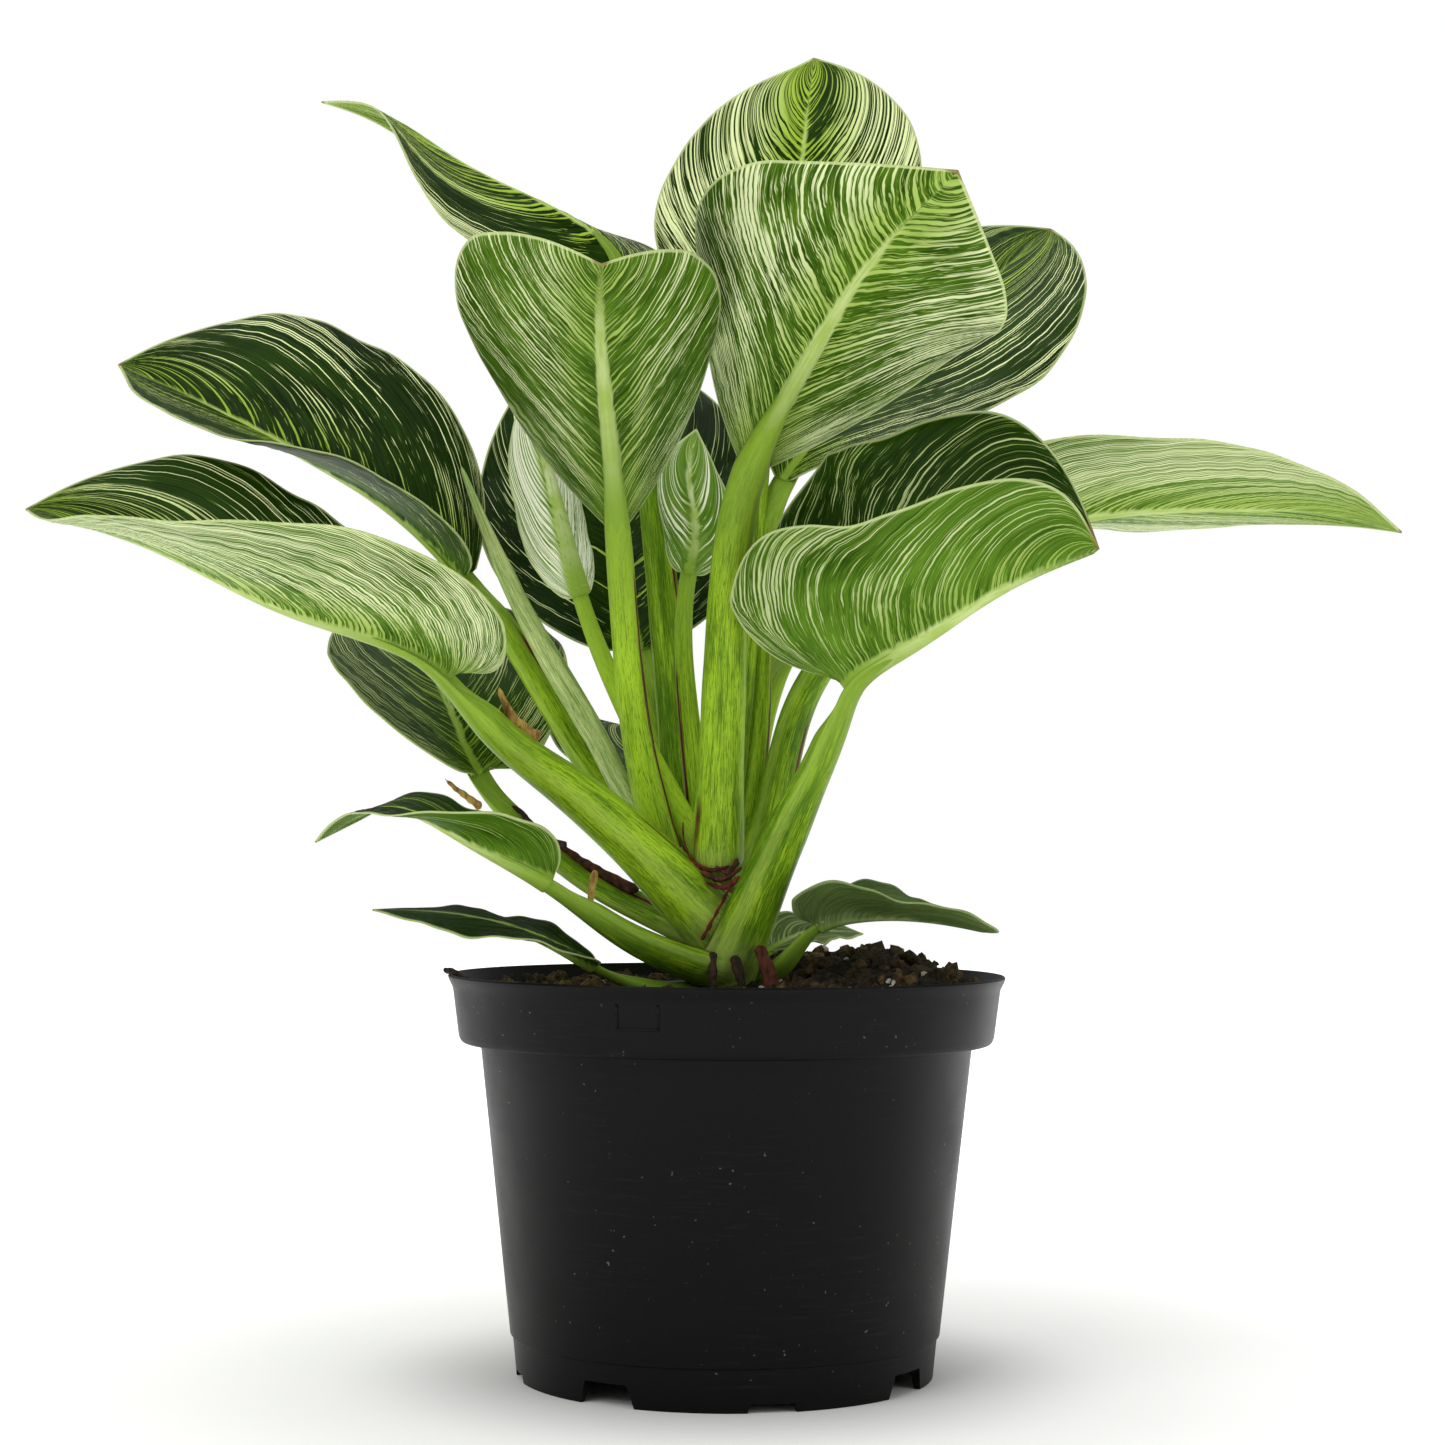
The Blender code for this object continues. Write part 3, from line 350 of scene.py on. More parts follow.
# Waves along a margin: height in mm, power at which they grow outwards, number, and lag on the right half
MARGIN_WAVES = ((1.2, 2, 3.0, 1.7), (0.35, 3, 8.5, 3.4))

# Midrib in mm: how much wider each half is at the base than at the tip, half its width at the tip, and the
# depth and half the width of the groove on top
RIB_WIDENING = 3.6
RIB_TIP_HALF = 0.5
GROOVE_DEPTH = 0.35
GROOVE_HALF = 1.8

# Over how many mm a blade thins out to its margin, and the quilting fades to its margin and to its midrib
THINNING = 4
QUILT_FADE = (3, 4)

# How the side veins drift towards the tip on their way to the margin
VEIN_DRIFT = 0.60
VEIN_BEND = 1.4
VEIN_PITCH = 0.57
# The share of that drift that is kept at the tip, and the leaves that keep less
TIP_DRIFT = 0.75
LOW_TIP_DRIFT = dict(front_left=0.0, front_right=0.0, back_top=0.35, back_dark=0.35, right_cupped=0.6)

# How stripes, finer lines and flecks are cut out of noise: lines for each spacing, weight of their sine,
# stretch and detail of the noise, the level of the cut, its strength, and how far the noise is moved
STRIPE_CUTS = (
    (1.0, 0.13, (0.8, 0.065, 1), 3, 0.595, 1.0, 0.0),
    (2.1, 0.10, (1.7, 0.12, 1), 3, 0.65, 0.85, 11.3),
    (3.1, 0.08, (3.4, 0.40, 1), 1, 0.70, 0.75, 27.9),
)

# Skins of the leaves' two sides: material, green and its paler cloud, stripe, midrib, half width of the
# midrib's line in mm, how far out in mm the stripes stay lime, how much more is striped, how soft the
# stripes' edges are, and roughness. None is a colour of the leaf settings.
LEAF_SKINS = {
    ("mature", "upper"): ("waxy_leaf_upper", None, "#2a4806", None, "#9fc03c",
                          1.2, 24, -0.05, 0.018, 0.38),
    ("mature", "under"): ("waxy_leaf_underside", None, "#5d8420", None, "#a5bf5c",
                          2.4, 22, -0.04, 0.04, 0.46),
    ("young", "upper"): ("young_leaf_upper", "#3f6a14", "#7b9f3c", "#f0f5d4", "#9fc03c",
                         0.3, 4, 0.02, 0.03, 0.40),
    ("young", "under"): ("young_leaf_underside", "#446e16", "#7ea23e", "#f3f7da", "#a5bf5c",
                         0.2, 4, 0.01, 0.03, 0.46),
    ("old", "upper"): ("aged_leaf_upper", "#38501f", "#64794a", "#9fae80", "#cbd993",
                       1.2, 10, -0.08, 0.06, 0.50),
    ("old", "under"): ("aged_leaf_underside", "#48602a", "#768b52", "#aab68c", "#cbd993",
                       1.6, 10, -0.06, 0.07, 0.56),
}

# Colours of single places on leaves and stalks
EDGE_CREAM = "#c6d592"
WITHERED_BROWN = "#7a5c2a"
STALK_LIME = "#86a63a"
WING_LIME = "#a9c455"
FOOT_CREAM = "#a6b468"

# Pot, in millimetres
LIP_RADIUS = 82.5
BAND_TOP_RADIUS = 81.0
BAND_BOTTOM_RADIUS = 79.0
BAND_BOTTOM = 97.4
BODY_TOP_RADIUS = 72.8
BODY_BOTTOM_RADIUS = 63.3
FOOT_LINE = 12.5
FOOT_TOP_RADIUS = 62.5
FOOT_RADIUS = 61.3
WALL = 1.6
FLOOR_BOTTOM = 4.6
FLOOR_TOP = 6.4
TALL_NOTCH = dict(first_deg=-32.5, width=20.0, height=6.5, slant=3.0, depth=9.0)
SHALLOW_NOTCH = dict(first_deg=12.5, width=15.0, height=2.4, slant=1.0, depth=6.0)
DRAIN_HOLE = (14.0, 7.0)
DRAIN_HOLE_RADIUS = 54.0
MARK = dict(left=-31.0, right=-18.4, low=105.2, high=112.4, line=0.7, proud=0.25)

# Soil, in millimetres: its grid, its level at the pot's wall and its heap
SOIL_SIDES = 240
SOIL_RINGS = 110
SOIL_EDGE = 111.5
MOUND_RISE = 12.0
MOUND_CENTRE = (40.0, 14.0)
MOUND_SPREAD = (34.0, 44.0)

# Loose bits on the soil, in millimetres: how far out they lie, and the least and greatest radius of each kind
LOOSE_REACH = 76.5
CHIP_SIZES = (1.2, 3.4)
GRAIN_SIZES = (0.7, 1.5)

# Lamps: place in metres, size in metres, and share of the key lamp's power
LAMPS = dict(
    key=((-0.9, -1.1, 1.3), 1.1, 1.0),
    fill=((1.2, -1.0, 0.7), 1.0, 0.35),
    top=((0, 0.3, 1.6), 1.4, 0.85),
)
LAMP_TARGET = (0, 0, 0.22)

# Camera, in metres and degrees, its lens and sensor in millimetres, and half the width of the floor in metres
CAMERA_PLACE = (0.0, -0.84, 0.1556)
CAMERA_PITCH = 2.49
CAMERA_YAW = 0.112
CAMERA_ROLL = 0.30
CAMERA_LENS = 70.2
SENSOR_WIDTH = 36.0
FLOOR_HALF = 3


def linear(colour):
    """An sRGB hex colour as linear red, green and blue."""
    channels = (int(colour[i:i + 2], 16) / 255 for i in (1, 3, 5))
    return tuple(c / 12.92 if c <= 0.04045 else ((c + 0.055) / 1.055) ** 2.4 for c in channels)


def colour_property(name, description, default):
    """A colour that a user can change."""
    return bpy.props.FloatVectorProperty(
        name=name, description=description, subtype="COLOR", size=3, min=0, max=1, default=linear(default))


def length_property(name, description, default):
    """A length in metres that a user can change, given in millimetres."""
    return bpy.props.FloatProperty(
        name=name, description=description, subtype="DISTANCE", unit="LENGTH", min=0, default=default * MM)


class BirkinLeafSettings(bpy.types.PropertyGroup):
    """Sizes and colours of the leaf blades."""

    rows: bpy.props.IntProperty(name="Rows", description="Grid rows along a blade", default=132, min=20)
    columns: bpy.props.IntProperty(
        name="Columns", description="Grid columns across a blade", default=41, min=9)
    thickness: length_property("Thickness", "Thickness of a blade beside its midrib", 0.8)
    margin: length_property("Margin thickness", "Thickness of a blade at its edge", 0.45)
    rib_depth: length_property("Midrib depth", "How far the midrib stands out under the blade", 2.5)
    vein_relief: length_property("Vein relief", "Height of the low quilting between side veins", 0.22)
    vein_spacing: length_property("Vein spacing", "Distance between side veins", 6.0)
    stripe_width: length_property("Stripe spacing", "Distance between the pale stripes", 1.85)
    upper_green: colour_property("Upper green", "Dark green of the upper side", "#0a1e00")
    under_green: colour_property("Under green", "Middle green of the underside", "#234202")
    upper_stripe: colour_property("Upper stripe", "Lime cream of the upper side's stripes", "#ecf7b6")
    under_stripe: colour_property("Under stripe", "Soft cream of the underside's stripes", "#e0e9b4")


class BirkinStalkSettings(bpy.types.PropertyGroup):
    """Sizes and colours of the stalks and the stem."""

    rows: bpy.props.IntProperty(name="Rows", description="Grid rows along a stalk", default=90, min=10)
    sides: bpy.props.IntProperty(name="Sides", description="Sides round a stalk", default=40, min=8)
    run_on: length_property("Run on", "How far a stalk runs on under the midrib", 34.0)
    green: colour_property("Stalk green", "Juicy green of the stalks", "#4c7210")
    pale: colour_property("Stalk pale", "Lime of the stalks' light streaks", "#a2c82c")
    red: colour_property("Sheath red", "Red-brown of the sheath edges", "#551512")


class BirkinPotSettings(bpy.types.PropertyGroup):
    """Sizes and colours of the pot and its soil."""

    height: bpy.props.FloatProperty(
        name="Height", description="Height of the pot", subtype="DISTANCE", unit="LENGTH",
        default=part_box("pot")[1][2])
    sides: bpy.props.IntProperty(name="Sides", description="Sides round the pot", default=192, min=24)
    plastic: colour_property("Plastic", "Black of the pot's plastic", "#070708")
    dust: colour_property("Dust", "Grey of the dust on the pot", "#77776f")
    peat: colour_property("Peat", "Dark brown of the soil", "#15100a")
    chips: bpy.props.IntProperty(name="Chips", description="Bits of bark on the soil", default=420, min=0)
    grains: bpy.props.IntProperty(name="Grains", description="White grains on the soil", default=90, min=0)


class BirkinStageSettings(bpy.types.PropertyGroup):
    """The floor, the light and the camera."""

    floor: colour_property("Floor", "Colour of the floor", "#f4f4f2")
    sky: bpy.props.FloatProperty(name="Sky", description="Strength of the even light", default=0.38, min=0)
    key: bpy.props.FloatProperty(
        name="Key", description="Power of the main lamp", subtype="POWER", unit="POWER", default=11.0, min=0)


def unit(vectors):
    """Vectors scaled to length 1."""
    return vectors / np.maximum(np.linalg.norm(vectors, axis=-1, keepdims=True), 1e-12)


def smooth(low, high, value):
    """0 under low, 1 over high, and 3t^2 - 2t^3 of the share t between them."""
    share = np.clip((value - low) / (high - low), 0, 1)
    return share * share * (3 - 2 * share)


def chord_knots(points):
    """The running length along a list of points."""
    return np.concatenate([[0], np.cumsum(np.linalg.norm(np.diff(points, axis=0), axis=1))])


def spline(points, knots, at):
    """Points on the natural cubic spline: the cubics whose slopes and bends agree where they meet."""
    points = np.asarray(points, float)
    count = len(points)
    step = np.diff(knots)
    matrix = np.zeros((count, count))
    right = np.zeros_like(points)
    matrix[0, 0] = matrix[-1, -1] = 1
    for i in range(1, count - 1):
        matrix[i, i - 1:i + 2] = step[i - 1], 2 * (step[i - 1] + step[i]), step[i]
        right[i] = 6 * ((points[i + 1] - points[i]) / step[i] - (points[i] - points[i - 1]) / step[i - 1])
    bend = np.linalg.solve(matrix, right)
    k = np.clip(np.searchsorted(knots, at, side="right") - 1, 0, count - 2)
    span = step[k][:, None]
    a = (knots[k + 1] - at)[:, None] / span
    b = 1 - a
    return a * points[k] + b * points[k + 1] + ((a**3 - a) * bend[k] + (b**3 - b) * bend[k + 1]) * span**2 / 6


def blend(values, share):
    """The quadratic through the values at the base, the middle and the tip."""
    base, middle, tip = (np.asarray(value, float) for value in values)
    x = np.clip(np.asarray(share, float), 0, 1)
    if base.ndim:
        x = x[..., None]
    return base * (1 - x) * (1 - 2 * x) + middle * 4 * x * (1 - x) + tip * x * (2 * x - 1)


def waves(points, length, seed, count=24):
    """Soft random relief from -1 to 1: the mean of sine waves of about one length, in seeded directions."""
    draw = np.random.default_rng(seed)
    turns = unit(draw.normal(size=(count, 3))) * (2 * np.pi / (length * draw.uniform(0.6, 1.6, (count, 1))))
    phases = draw.uniform(0, 2 * np.pi, count)
    return np.sin(points @ turns.T + phases).sum(-1) / math.sqrt(count)


def grid_quads(rows, columns, offset=0, wrap=False, flip=False):
    """Corner numbers of the cells of a grid of points. wrap closes it round its columns."""
    i = np.arange(rows - 1)[:, None]
    j = np.arange(columns if wrap else columns - 1)[None]
    k = (j + 1) % columns
    corners = [i * columns + j, i * columns + k, (i + 1) * columns + k, (i + 1) * columns + j]
    quads = offset + np.stack(corners, -1).reshape(-1, 4)
    return quads[:, ::-1] if flip else quads


def add_piece(name, points, faces, material, replaces=(), attributes=None, second=None):
    """A mesh object from points in millimetres and arrays of corner numbers, one array for each face size.

    second is another material, with the numbers of the faces that wear it.
    """
    mesh = bpy.data.meshes.new(name)
    totals = np.concatenate([np.full(len(part), part.shape[1]) for part in faces])
    loops = np.concatenate([part.ravel() for part in faces]).astype(np.int32)
    mesh.vertices.add(len(points))
    mesh.vertices.foreach_set("co", (np.asarray(points) * MM).astype(np.float32).ravel())
    mesh.loops.add(len(loops))
    mesh.loops.foreach_set("vertex_index", loops)
    mesh.polygons.add(len(totals))
    mesh.polygons.foreach_set("loop_start", np.concatenate([[0], np.cumsum(totals)[:-1]]).astype(np.int32))
    mesh.update(calc_edges=True)
    mesh.materials.append(material)
    if second:
        mesh.materials.append(second[0])
        worn = np.zeros(len(totals), np.int32)
        worn[second[1]] = 1
        mesh.polygons.foreach_set("material_index", worn)
    for key, values in (attributes or {}).items():
        layer = mesh.attributes.new(key, "FLOAT_VECTOR", "POINT")
        layer.data.foreach_set("vector", np.asarray(values, np.float32).ravel())
    mesh.shade_smooth()
    if mesh.validate():
        raise RuntimeError(f"{name} has faces that Blender had to mend")
    piece = bpy.data.objects.new(name, mesh)
    bpy.context.scene.collection.objects.link(piece)
    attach(piece, BODY)
    if replaces:
        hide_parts(*replaces)
    return piece


def half_outline(name, share):
    """Points on a half outline, by share of the way along it from the stalk to the tip."""
    points = np.array(OUTLINES[name], float)
    knots = chord_knots(points * (1, 0.5))
    return spline(points, knots / knots[-1], share)


def leaf_line(leaf, samples=160):
    """The middle of the stalk and the midrib: one smooth curve, in two runs that meet at the blade."""
    points = np.array(leaf["stalk"] + leaf["rib"], float)
    knots = chord_knots(points)
    joint = knots[len(leaf["stalk"]) - 1]
    stalk = spline(points, knots, np.linspace(0, joint, samples))
    rib = spline(points, knots, np.linspace(joint, knots[-1], samples))
    return stalk, rib


def blade_surface(leaf, u, v):
    """The upper skin of a blade and the way its underside looks, with each point's place on the leaf.

    u runs from the stalk (0) to the tip (1) and v from the left margin (-1) over the midrib (0) to the right
    one (1). A row of equal u is a quadratic curve that leaves the midrib at the power ROW_SPREAD of u and
    ends on the margin at the share u of its length. Each half is turned up at the midrib by its fold and
    bent on by its curl, as an arc, and its margin waves as a sum of sines of u.
    """
    _, rib = leaf_line(leaf)
    along = chord_knots(rib)
    length = along[-1]
    tangents = unit(np.gradient(rib, axis=0))
    left = v < 0
    margins = [half_outline(name, u[:, 0]) for name in leaf["outline"]]
    margin_x, margin_y = (np.where(left, margins[0][:, i, None], margins[1][:, i, None]) for i in (0, 1))
    start = u**ROW_SPREAD
    out = np.abs(v)
    pulled = start + ROW_PULL[0] * (margin_x - start)
    x = (1 - out) ** 2 * start + 2 * out * (1 - out) * pulled + out**2 * margin_x
    across = 2 * out * (1 - out) * ROW_PULL[1] * margin_y + out**2 * margin_y
    centre = np.stack([np.interp(x * length, along, rib[:, i]) for i in range(3)], -1)
    tangent = unit(np.stack([np.interp(x * length, along, tangents[:, i]) for i in range(3)], -1))
    centre = centre + np.minimum(x * length, 0)[..., None] * tangent
    face = blend(leaf["face"], x)
    face = unit(face - (face * tangent).sum(-1, keepdims=True) * tangent)
    side = np.cross(tangent, face) * np.where(left, -1, 1)[..., None]
    width = np.where(left, *leaf["half_width"])
    fold, curl = (np.radians(np.where(left, *(blend(half, x) for half in leaf.get(key, FLAT))))
                  for key in ("fold", "curl"))
    curl = np.where(np.abs(curl) < 1e-3, 1e-3, curl)
    turned = fold + curl * across
    reach = (np.sin(turned) - np.sin(fold)) / curl * width
    rise = (np.cos(fold) - np.cos(turned)) / curl * width
    for wave, power, number, lag in MARGIN_WAVES:
        turns = 2 * np.pi * number * u + np.where(left, 0, lag)
        rise = rise + wave * across**power * np.sin(turns) * np.sin(np.pi * u)
    upper = centre + reach[..., None] * side + rise[..., None] * face
    under = np.sin(turned)[..., None] * side - np.cos(turned)[..., None] * face
    return upper, under, face, fold, x, across * width


def build_blade(name, leaf, seed, settings, skins):
    """One blade: an upper and a lower skin over the same grid, closed by a strip round the edge.

    The skins lie the blade's thickness apart, which narrows to the margin. The midrib is a raised cosine
    under it and a shallow groove on top. A side vein is a line of equal u less a drift times v to the power
    VEIN_BEND, so that it leaves the midrib at a sharp angle and meets the margin further up. The drift falls
    evenly from VEIN_DRIFT at the stalk to a part of it at the tip. Low sine quilting runs along the veins.
    """
    rows, columns = settings.rows, settings.columns
    thickness, margin, rib_depth, relief, spacing, stripe = (
        getattr(settings, key) / MM for key in
        ("thickness", "margin", "rib_depth", "vein_relief", "vein_spacing", "stripe_width"))
    spread = np.linspace(-1, 1, columns)
    v = np.broadcast_to(np.sign(spread) * np.abs(spread) ** COLUMN_POWER, (rows, columns))
    u = np.broadcast_to(np.linspace(0, 1, rows)[:, None] ** ROW_POWER, (rows, columns))
    upper, under, face, fold, x, across = blade_surface(leaf, u, v)
    middle = columns // 2
    under[:, middle] = -face[:, middle]
    vein = np.linalg.norm(np.diff(upper, axis=1), axis=-1)
    from_left = np.concatenate([np.zeros((rows, 1)), np.cumsum(vein, axis=1)], axis=1)
    from_rib = np.abs(from_left - from_left[:, middle:middle + 1])
    ends = np.where(v < 0, from_rib[:, :1], from_rib[:, -1:])
    to_margin = ends - from_rib
    edges = [np.linalg.norm(np.diff(upper[:, c], axis=0), axis=-1).sum() for c in (0, -1)]
    edge = np.where(v < 0, *edges)
    drift = VEIN_DRIFT * (1 - (1 - LOW_TIP_DRIFT.get(name, TIP_DRIFT)) * u)
    vein_place = (u - drift * np.abs(v) ** VEIN_BEND) * edge * VEIN_PITCH
    rib_width = RIB_WIDENING * (1 - x).clip(0) ** 0.9 + RIB_TIP_HALF
    hump = np.cos(np.pi / 2 * np.clip(across / rib_width, 0, 1)) ** 2
    fade = smooth(0, QUILT_FADE[0], to_margin) * smooth(0, QUILT_FADE[1], across)
    quilt = relief * np.sin(2 * np.pi * vein_place / spacing + waves(upper, 40, seed)) * fade
    depth = margin + (thickness - margin) * smooth(0, THINNING, to_margin)
    depth = depth / np.maximum(np.cos(fold), 0.5) ** hump + rib_depth * (1 - x).clip(0) ** 1.5 * hump
    groove = GROOVE_DEPTH * (1 - x).clip(0) * np.cos(np.pi / 2 * np.clip(across / GROOVE_HALF, 0, 1)) ** 2
    top = upper + (groove + quilt)[..., None] * under
    low = upper + (depth + quilt)[..., None] * under
    count = rows * columns
    rim = np.concatenate([np.arange(columns), np.arange(1, rows) * columns + columns - 1,
                          count - 1 - np.arange(1, columns), np.arange(rows - 2, 0, -1) * columns])
    ahead = np.roll(rim, -1)
    strip = np.stack([ahead, rim, rim + count, ahead + count], -1)
    skin_quads = grid_quads(rows, columns)
    faces = [np.concatenate([skin_quads, grid_quads(rows, columns, offset=count, flip=True), strip])]
    kind, cream, tone = FINISH[name]
    half_seed = seed * 7.31 + np.where(v > 0, 3.7, 0)
    stripes = np.stack([vein_place / stripe, 1.3 * across / stripe, half_seed], -1).reshape(-1, 3)
    place = np.stack([to_margin, x, across], -1).reshape(-1, 3)
    look = np.broadcast_to((cream, tone, FAINT.get(name, 0.0)), place.shape)
    attributes = {key: np.tile(values, (2, 1)) for key, values in
                  (("stripes", stripes), ("place", place), ("look", look))}
    attributes["look"][count:, :2] += UNDER_LOOK.get(name, (0.0, 0.0))
    points = np.concatenate([top.reshape(-1, 3), low.reshape(-1, 3)])
    lower_faces = np.arange(len(skin_quads), len(faces[0]))
    add_piece(f"leaf_{name}", points, faces, skins[kind, "upper"], (f"blade_{name}",),
              attributes, (skins[kind, "under"], lower_faces))


def tube(line, face, widths, heights, sides, channel=0.0, keel=1.0):
    """A closed tube: an oval section carried along a line, its upper half on the side that face looks to.

    The section is (w/2 cos t, h/2 sin t). Where sin t is above 0 it is flattened by keel, one value or one
    for each point of the line, and dented by channel. Its ends are closed by one flat face each.
    """
    tangent = unit(np.gradient(line, axis=0))
    face = np.broadcast_to(np.asarray(face, float), line.shape)
    up = unit(face - (face * tangent).sum(-1, keepdims=True) * tangent)
    side = np.cross(tangent, up)
    turn = np.arange(sides) * 2 * np.pi / sides
    cos, sin = np.cos(turn), np.sin(turn)
    keel = np.broadcast_to(keel, len(line))[:, None]
    lift = np.where(sin > 0, sin * keel - channel * np.exp(-(cos / 0.4) ** 2), sin)
    wide = widths[:, None, None] / 2 * cos[None, :, None] * side[:, None]
    high = (heights[:, None] / 2 * lift)[..., None] * up[:, None]
    points = (line[:, None] + wide + high).reshape(-1, 3)
    faces = [grid_quads(len(line), sides, wrap=True, flip=True), np.arange(sides)[None],
             (len(points) - 1 - np.arange(sides))[None]]
    return points, faces, up, turn


def round_ends(share, length, radius):
    """How full a tube is near its ends: a quarter circle over the last radius of its length."""
    near = np.minimum(share, 1 - share) * length
    return np.sqrt(np.clip(1 - (1 - np.clip(near / radius, 0, 1)) ** 2, 0.02, 1))


def round_place(turn, rows, number):
    """Each point's direction round its tube, with the tube's own number, which moves its noise."""
    return np.tile(np.stack([np.cos(turn), np.sin(turn), np.full_like(turn, number)], -1), (rows, 1))


def build_stalk(name, leaf, seed, settings, skin):
    """One stalk: an oval tube that swells to its clasping foot and runs on under the blade's midrib.

    Its foot runs straight on into the clump. Towards the blade its upper half is flattened until it lies
    under the upper skin, and past the blade's start the tube narrows to the midrib. The red sheath edge is a
    line up the stalk, at the angle round it that looks the way that RED_LINES gives.
    """
    stalk, rib = leaf_line(leaf)
    root = OTHER_FOOT_RUN.get(name, FOOT_RUN)
    foot = stalk[:1] + unit(stalk[:1] - stalk[3:4]) * np.linspace(root, 0, 8, endpoint=False)[:, None]
    path = np.concatenate([foot, stalk, rib[1:]])
    length = chord_knots(path)
    joint = length[len(foot) + len(stalk) - 1]
    run_on = min(settings.run_on / MM, 0.4 * (length[-1] - joint))
    low = joint * (1 - (1 - np.linspace(0, 1, settings.rows)) ** 1.15)
    at = np.concatenate([low, joint + np.linspace(0, run_on, 25)[1:]])
    line = np.stack([np.interp(at, length, path[:, i]) for i in range(3)], -1)
    (foot_width, foot_height), (top_width, top_height) = leaf["thick"]
    share = np.clip((at - root) / (joint - root), 0, 1)
    swell = (1 - share) ** STALK_TAPER
    past = np.clip((at - joint) / run_on, 0, 1)
    widths = top_width + (foot_width - top_width) * swell
    heights = top_height + (foot_height - top_height) * swell
    widths = widths + (STALK_END[0] - top_width) * past
    heights = heights + (STALK_END[1] - top_height) * past**0.8
    full = round_ends(at / at[-1], at[-1], STALK_ROUNDING)
    full = np.where(at < joint / 2, full, np.maximum(full, 0.5))
    face = blend(leaf["face"], (at - joint).clip(0) / (length[-1] - joint))
    uneven = 1 + 0.02 * waves(line, 30, seed)
    keel = STALK_KEEL[0] + (STALK_KEEL[1] - STALK_KEEL[0]) * smooth(joint - KEEL_REACH, joint, at)
    size = full * uneven
    points, faces, up, turn = tube(line, face, widths * size, heights * size, settings.sides,
                                   STALK_CHANNEL, keel)
    way, start, end = RED_LINES.get(name, ((1, 0, 0), 0, 0))
    side = np.cross(unit(np.gradient(line, axis=0)), up)
    angle = np.arctan2(up @ np.array(way), side @ np.array(way))
    apart = np.abs((turn[None] - angle[:, None] + np.pi) % (2 * np.pi) - np.pi)
    arc = apart * ((widths + heights) / 4)[:, None]
    grown = at - root
    red_reach = smooth(end + 1, end - 8, grown) * smooth(start - 5, start, grown) * (end > 0)
    red_reach = np.broadcast_to(red_reach[:, None], arc.shape)
    place = np.stack([np.broadcast_to(grown[:, None], arc.shape), arc, red_reach], -1).reshape(-1, 3)
    near_blade = np.repeat(smooth(joint + BLADE_TINT[0], joint + BLADE_TINT[1], at), len(turn))
    tone = np.full_like(near_blade, STALK_TONE.get(name, 0.0))
    end_look = np.stack([near_blade, tone, np.zeros_like(tone)], -1)
    add_piece(f"petiole_{name}", points, faces, skin, (f"stalk_{name}",),
              {"place": place, "round": round_place(turn, len(at), seed), "blade": end_look})


# Steps of a shader: the node, its settings, the inputs that values fill in order, and the output that is used
STEP_KINDS = {
    "attribute": ("Attribute", {}, (), 1),
    "object place": ("TexCoord", {}, (), 3),
    "x of": ("SeparateXYZ", {}, (0,), 0),
    "y of": ("SeparateXYZ", {}, (0,), 1),
    "z of": ("SeparateXYZ", {}, (0,), 2),
    "join": ("CombineXYZ", {}, (0, 1, 2), 0),
    "scale by": ("VectorMath", {"operation": "MULTIPLY"}, (0, 1), 0),
    "move by": ("VectorMath", {"operation": "ADD"}, (0, 1), 0),
    "length of": ("VectorMath", {"operation": "LENGTH"}, (0,), 1),
    "add": ("Math", {"operation": "ADD"}, (0, 1), 0),
    "subtract": ("Math", {"operation": "SUBTRACT"}, (0, 1), 0),
    "multiply": ("Math", {"operation": "MULTIPLY"}, (0, 1), 0),
    "larger": ("Math", {"operation": "MAXIMUM"}, (0, 1), 0),
    "sine": ("Math", {"operation": "SINE"}, (0,), 0),
    "size of": ("Math", {"operation": "ABSOLUTE"}, (0,), 0),
    "ramp": ("MapRange", {"interpolation_type": "SMOOTHSTEP"}, (0, 1, 2, 3, 4), 0),
    "mix": ("Mix", {"data_type": "RGBA", "clamp_factor": True}, (0, 6, 7), 2),
    "noise": ("TexNoise", {"noise_dimensions": "3D"}, ("Vector", "Scale", "Detail", "Roughness"), 0),
    "bump": ("Bump", {}, ("Strength", "Distance", "Height"), 0),
    "surface": ("BsdfPrincipled", {}, ("Base Color", "Roughness", "Specular IOR Level", "Normal"), 0),
    "glowing surface": ("BsdfPrincipled", {}, ("Base Color", "Roughness", "Specular IOR Level",
                                               "Emission Color", "Emission Strength"), 0),
    "seen straight": ("LightPath", {}, (), 0),
    "even ramp": ("MapRange", {}, (0, 3, 4), 0),
    "background": ("Background", {}, (0, 1), 0),
}


def add_node(tree, kind, *values, **settings):
    """Adds one step of a shader and gives its output. A value is a number, a colour or a step's output."""
    node_type, fixed, inputs, output = STEP_KINDS[kind]
    node = tree.nodes.new("ShaderNode" + node_type)
    for key, value in (fixed | settings).items():
        setattr(node, key, value)
    for key, value in zip(inputs, values):
        if isinstance(value, bpy.types.NodeSocket):
            tree.links.new(value, node.inputs[key])
        elif node.inputs[key].type == "RGBA":
            node.inputs[key].default_value = (*value, 1)
        else:
            node.inputs[key].default_value = value
    return node.outputs[output]


def start_material(name):
    """A material with an empty tree, and the function that adds steps to it."""
    material = bpy.data.materials.new(name)
    material.use_nodes = True
    material.node_tree.nodes.clear()
    return material, partial(add_node, material.node_tree)


def wear(material, surface):
    """Links a surface to the material's output, and gives the material."""
    tree = material.node_tree
    tree.links.new(surface, tree.nodes.new("ShaderNodeOutputMaterial").inputs["Surface"])
    return material


def grown_noise(step, place, stretch, detail, roughness=0.5, shift=0.0):
    """Soft noise from 0 to 1 over a place that is stretched along each axis and then moved."""
    moved = step("move by", step("scale by", place, stretch), (shift, 2 * shift, shift))
    return step("noise", moved, 1.0, detail, roughness)


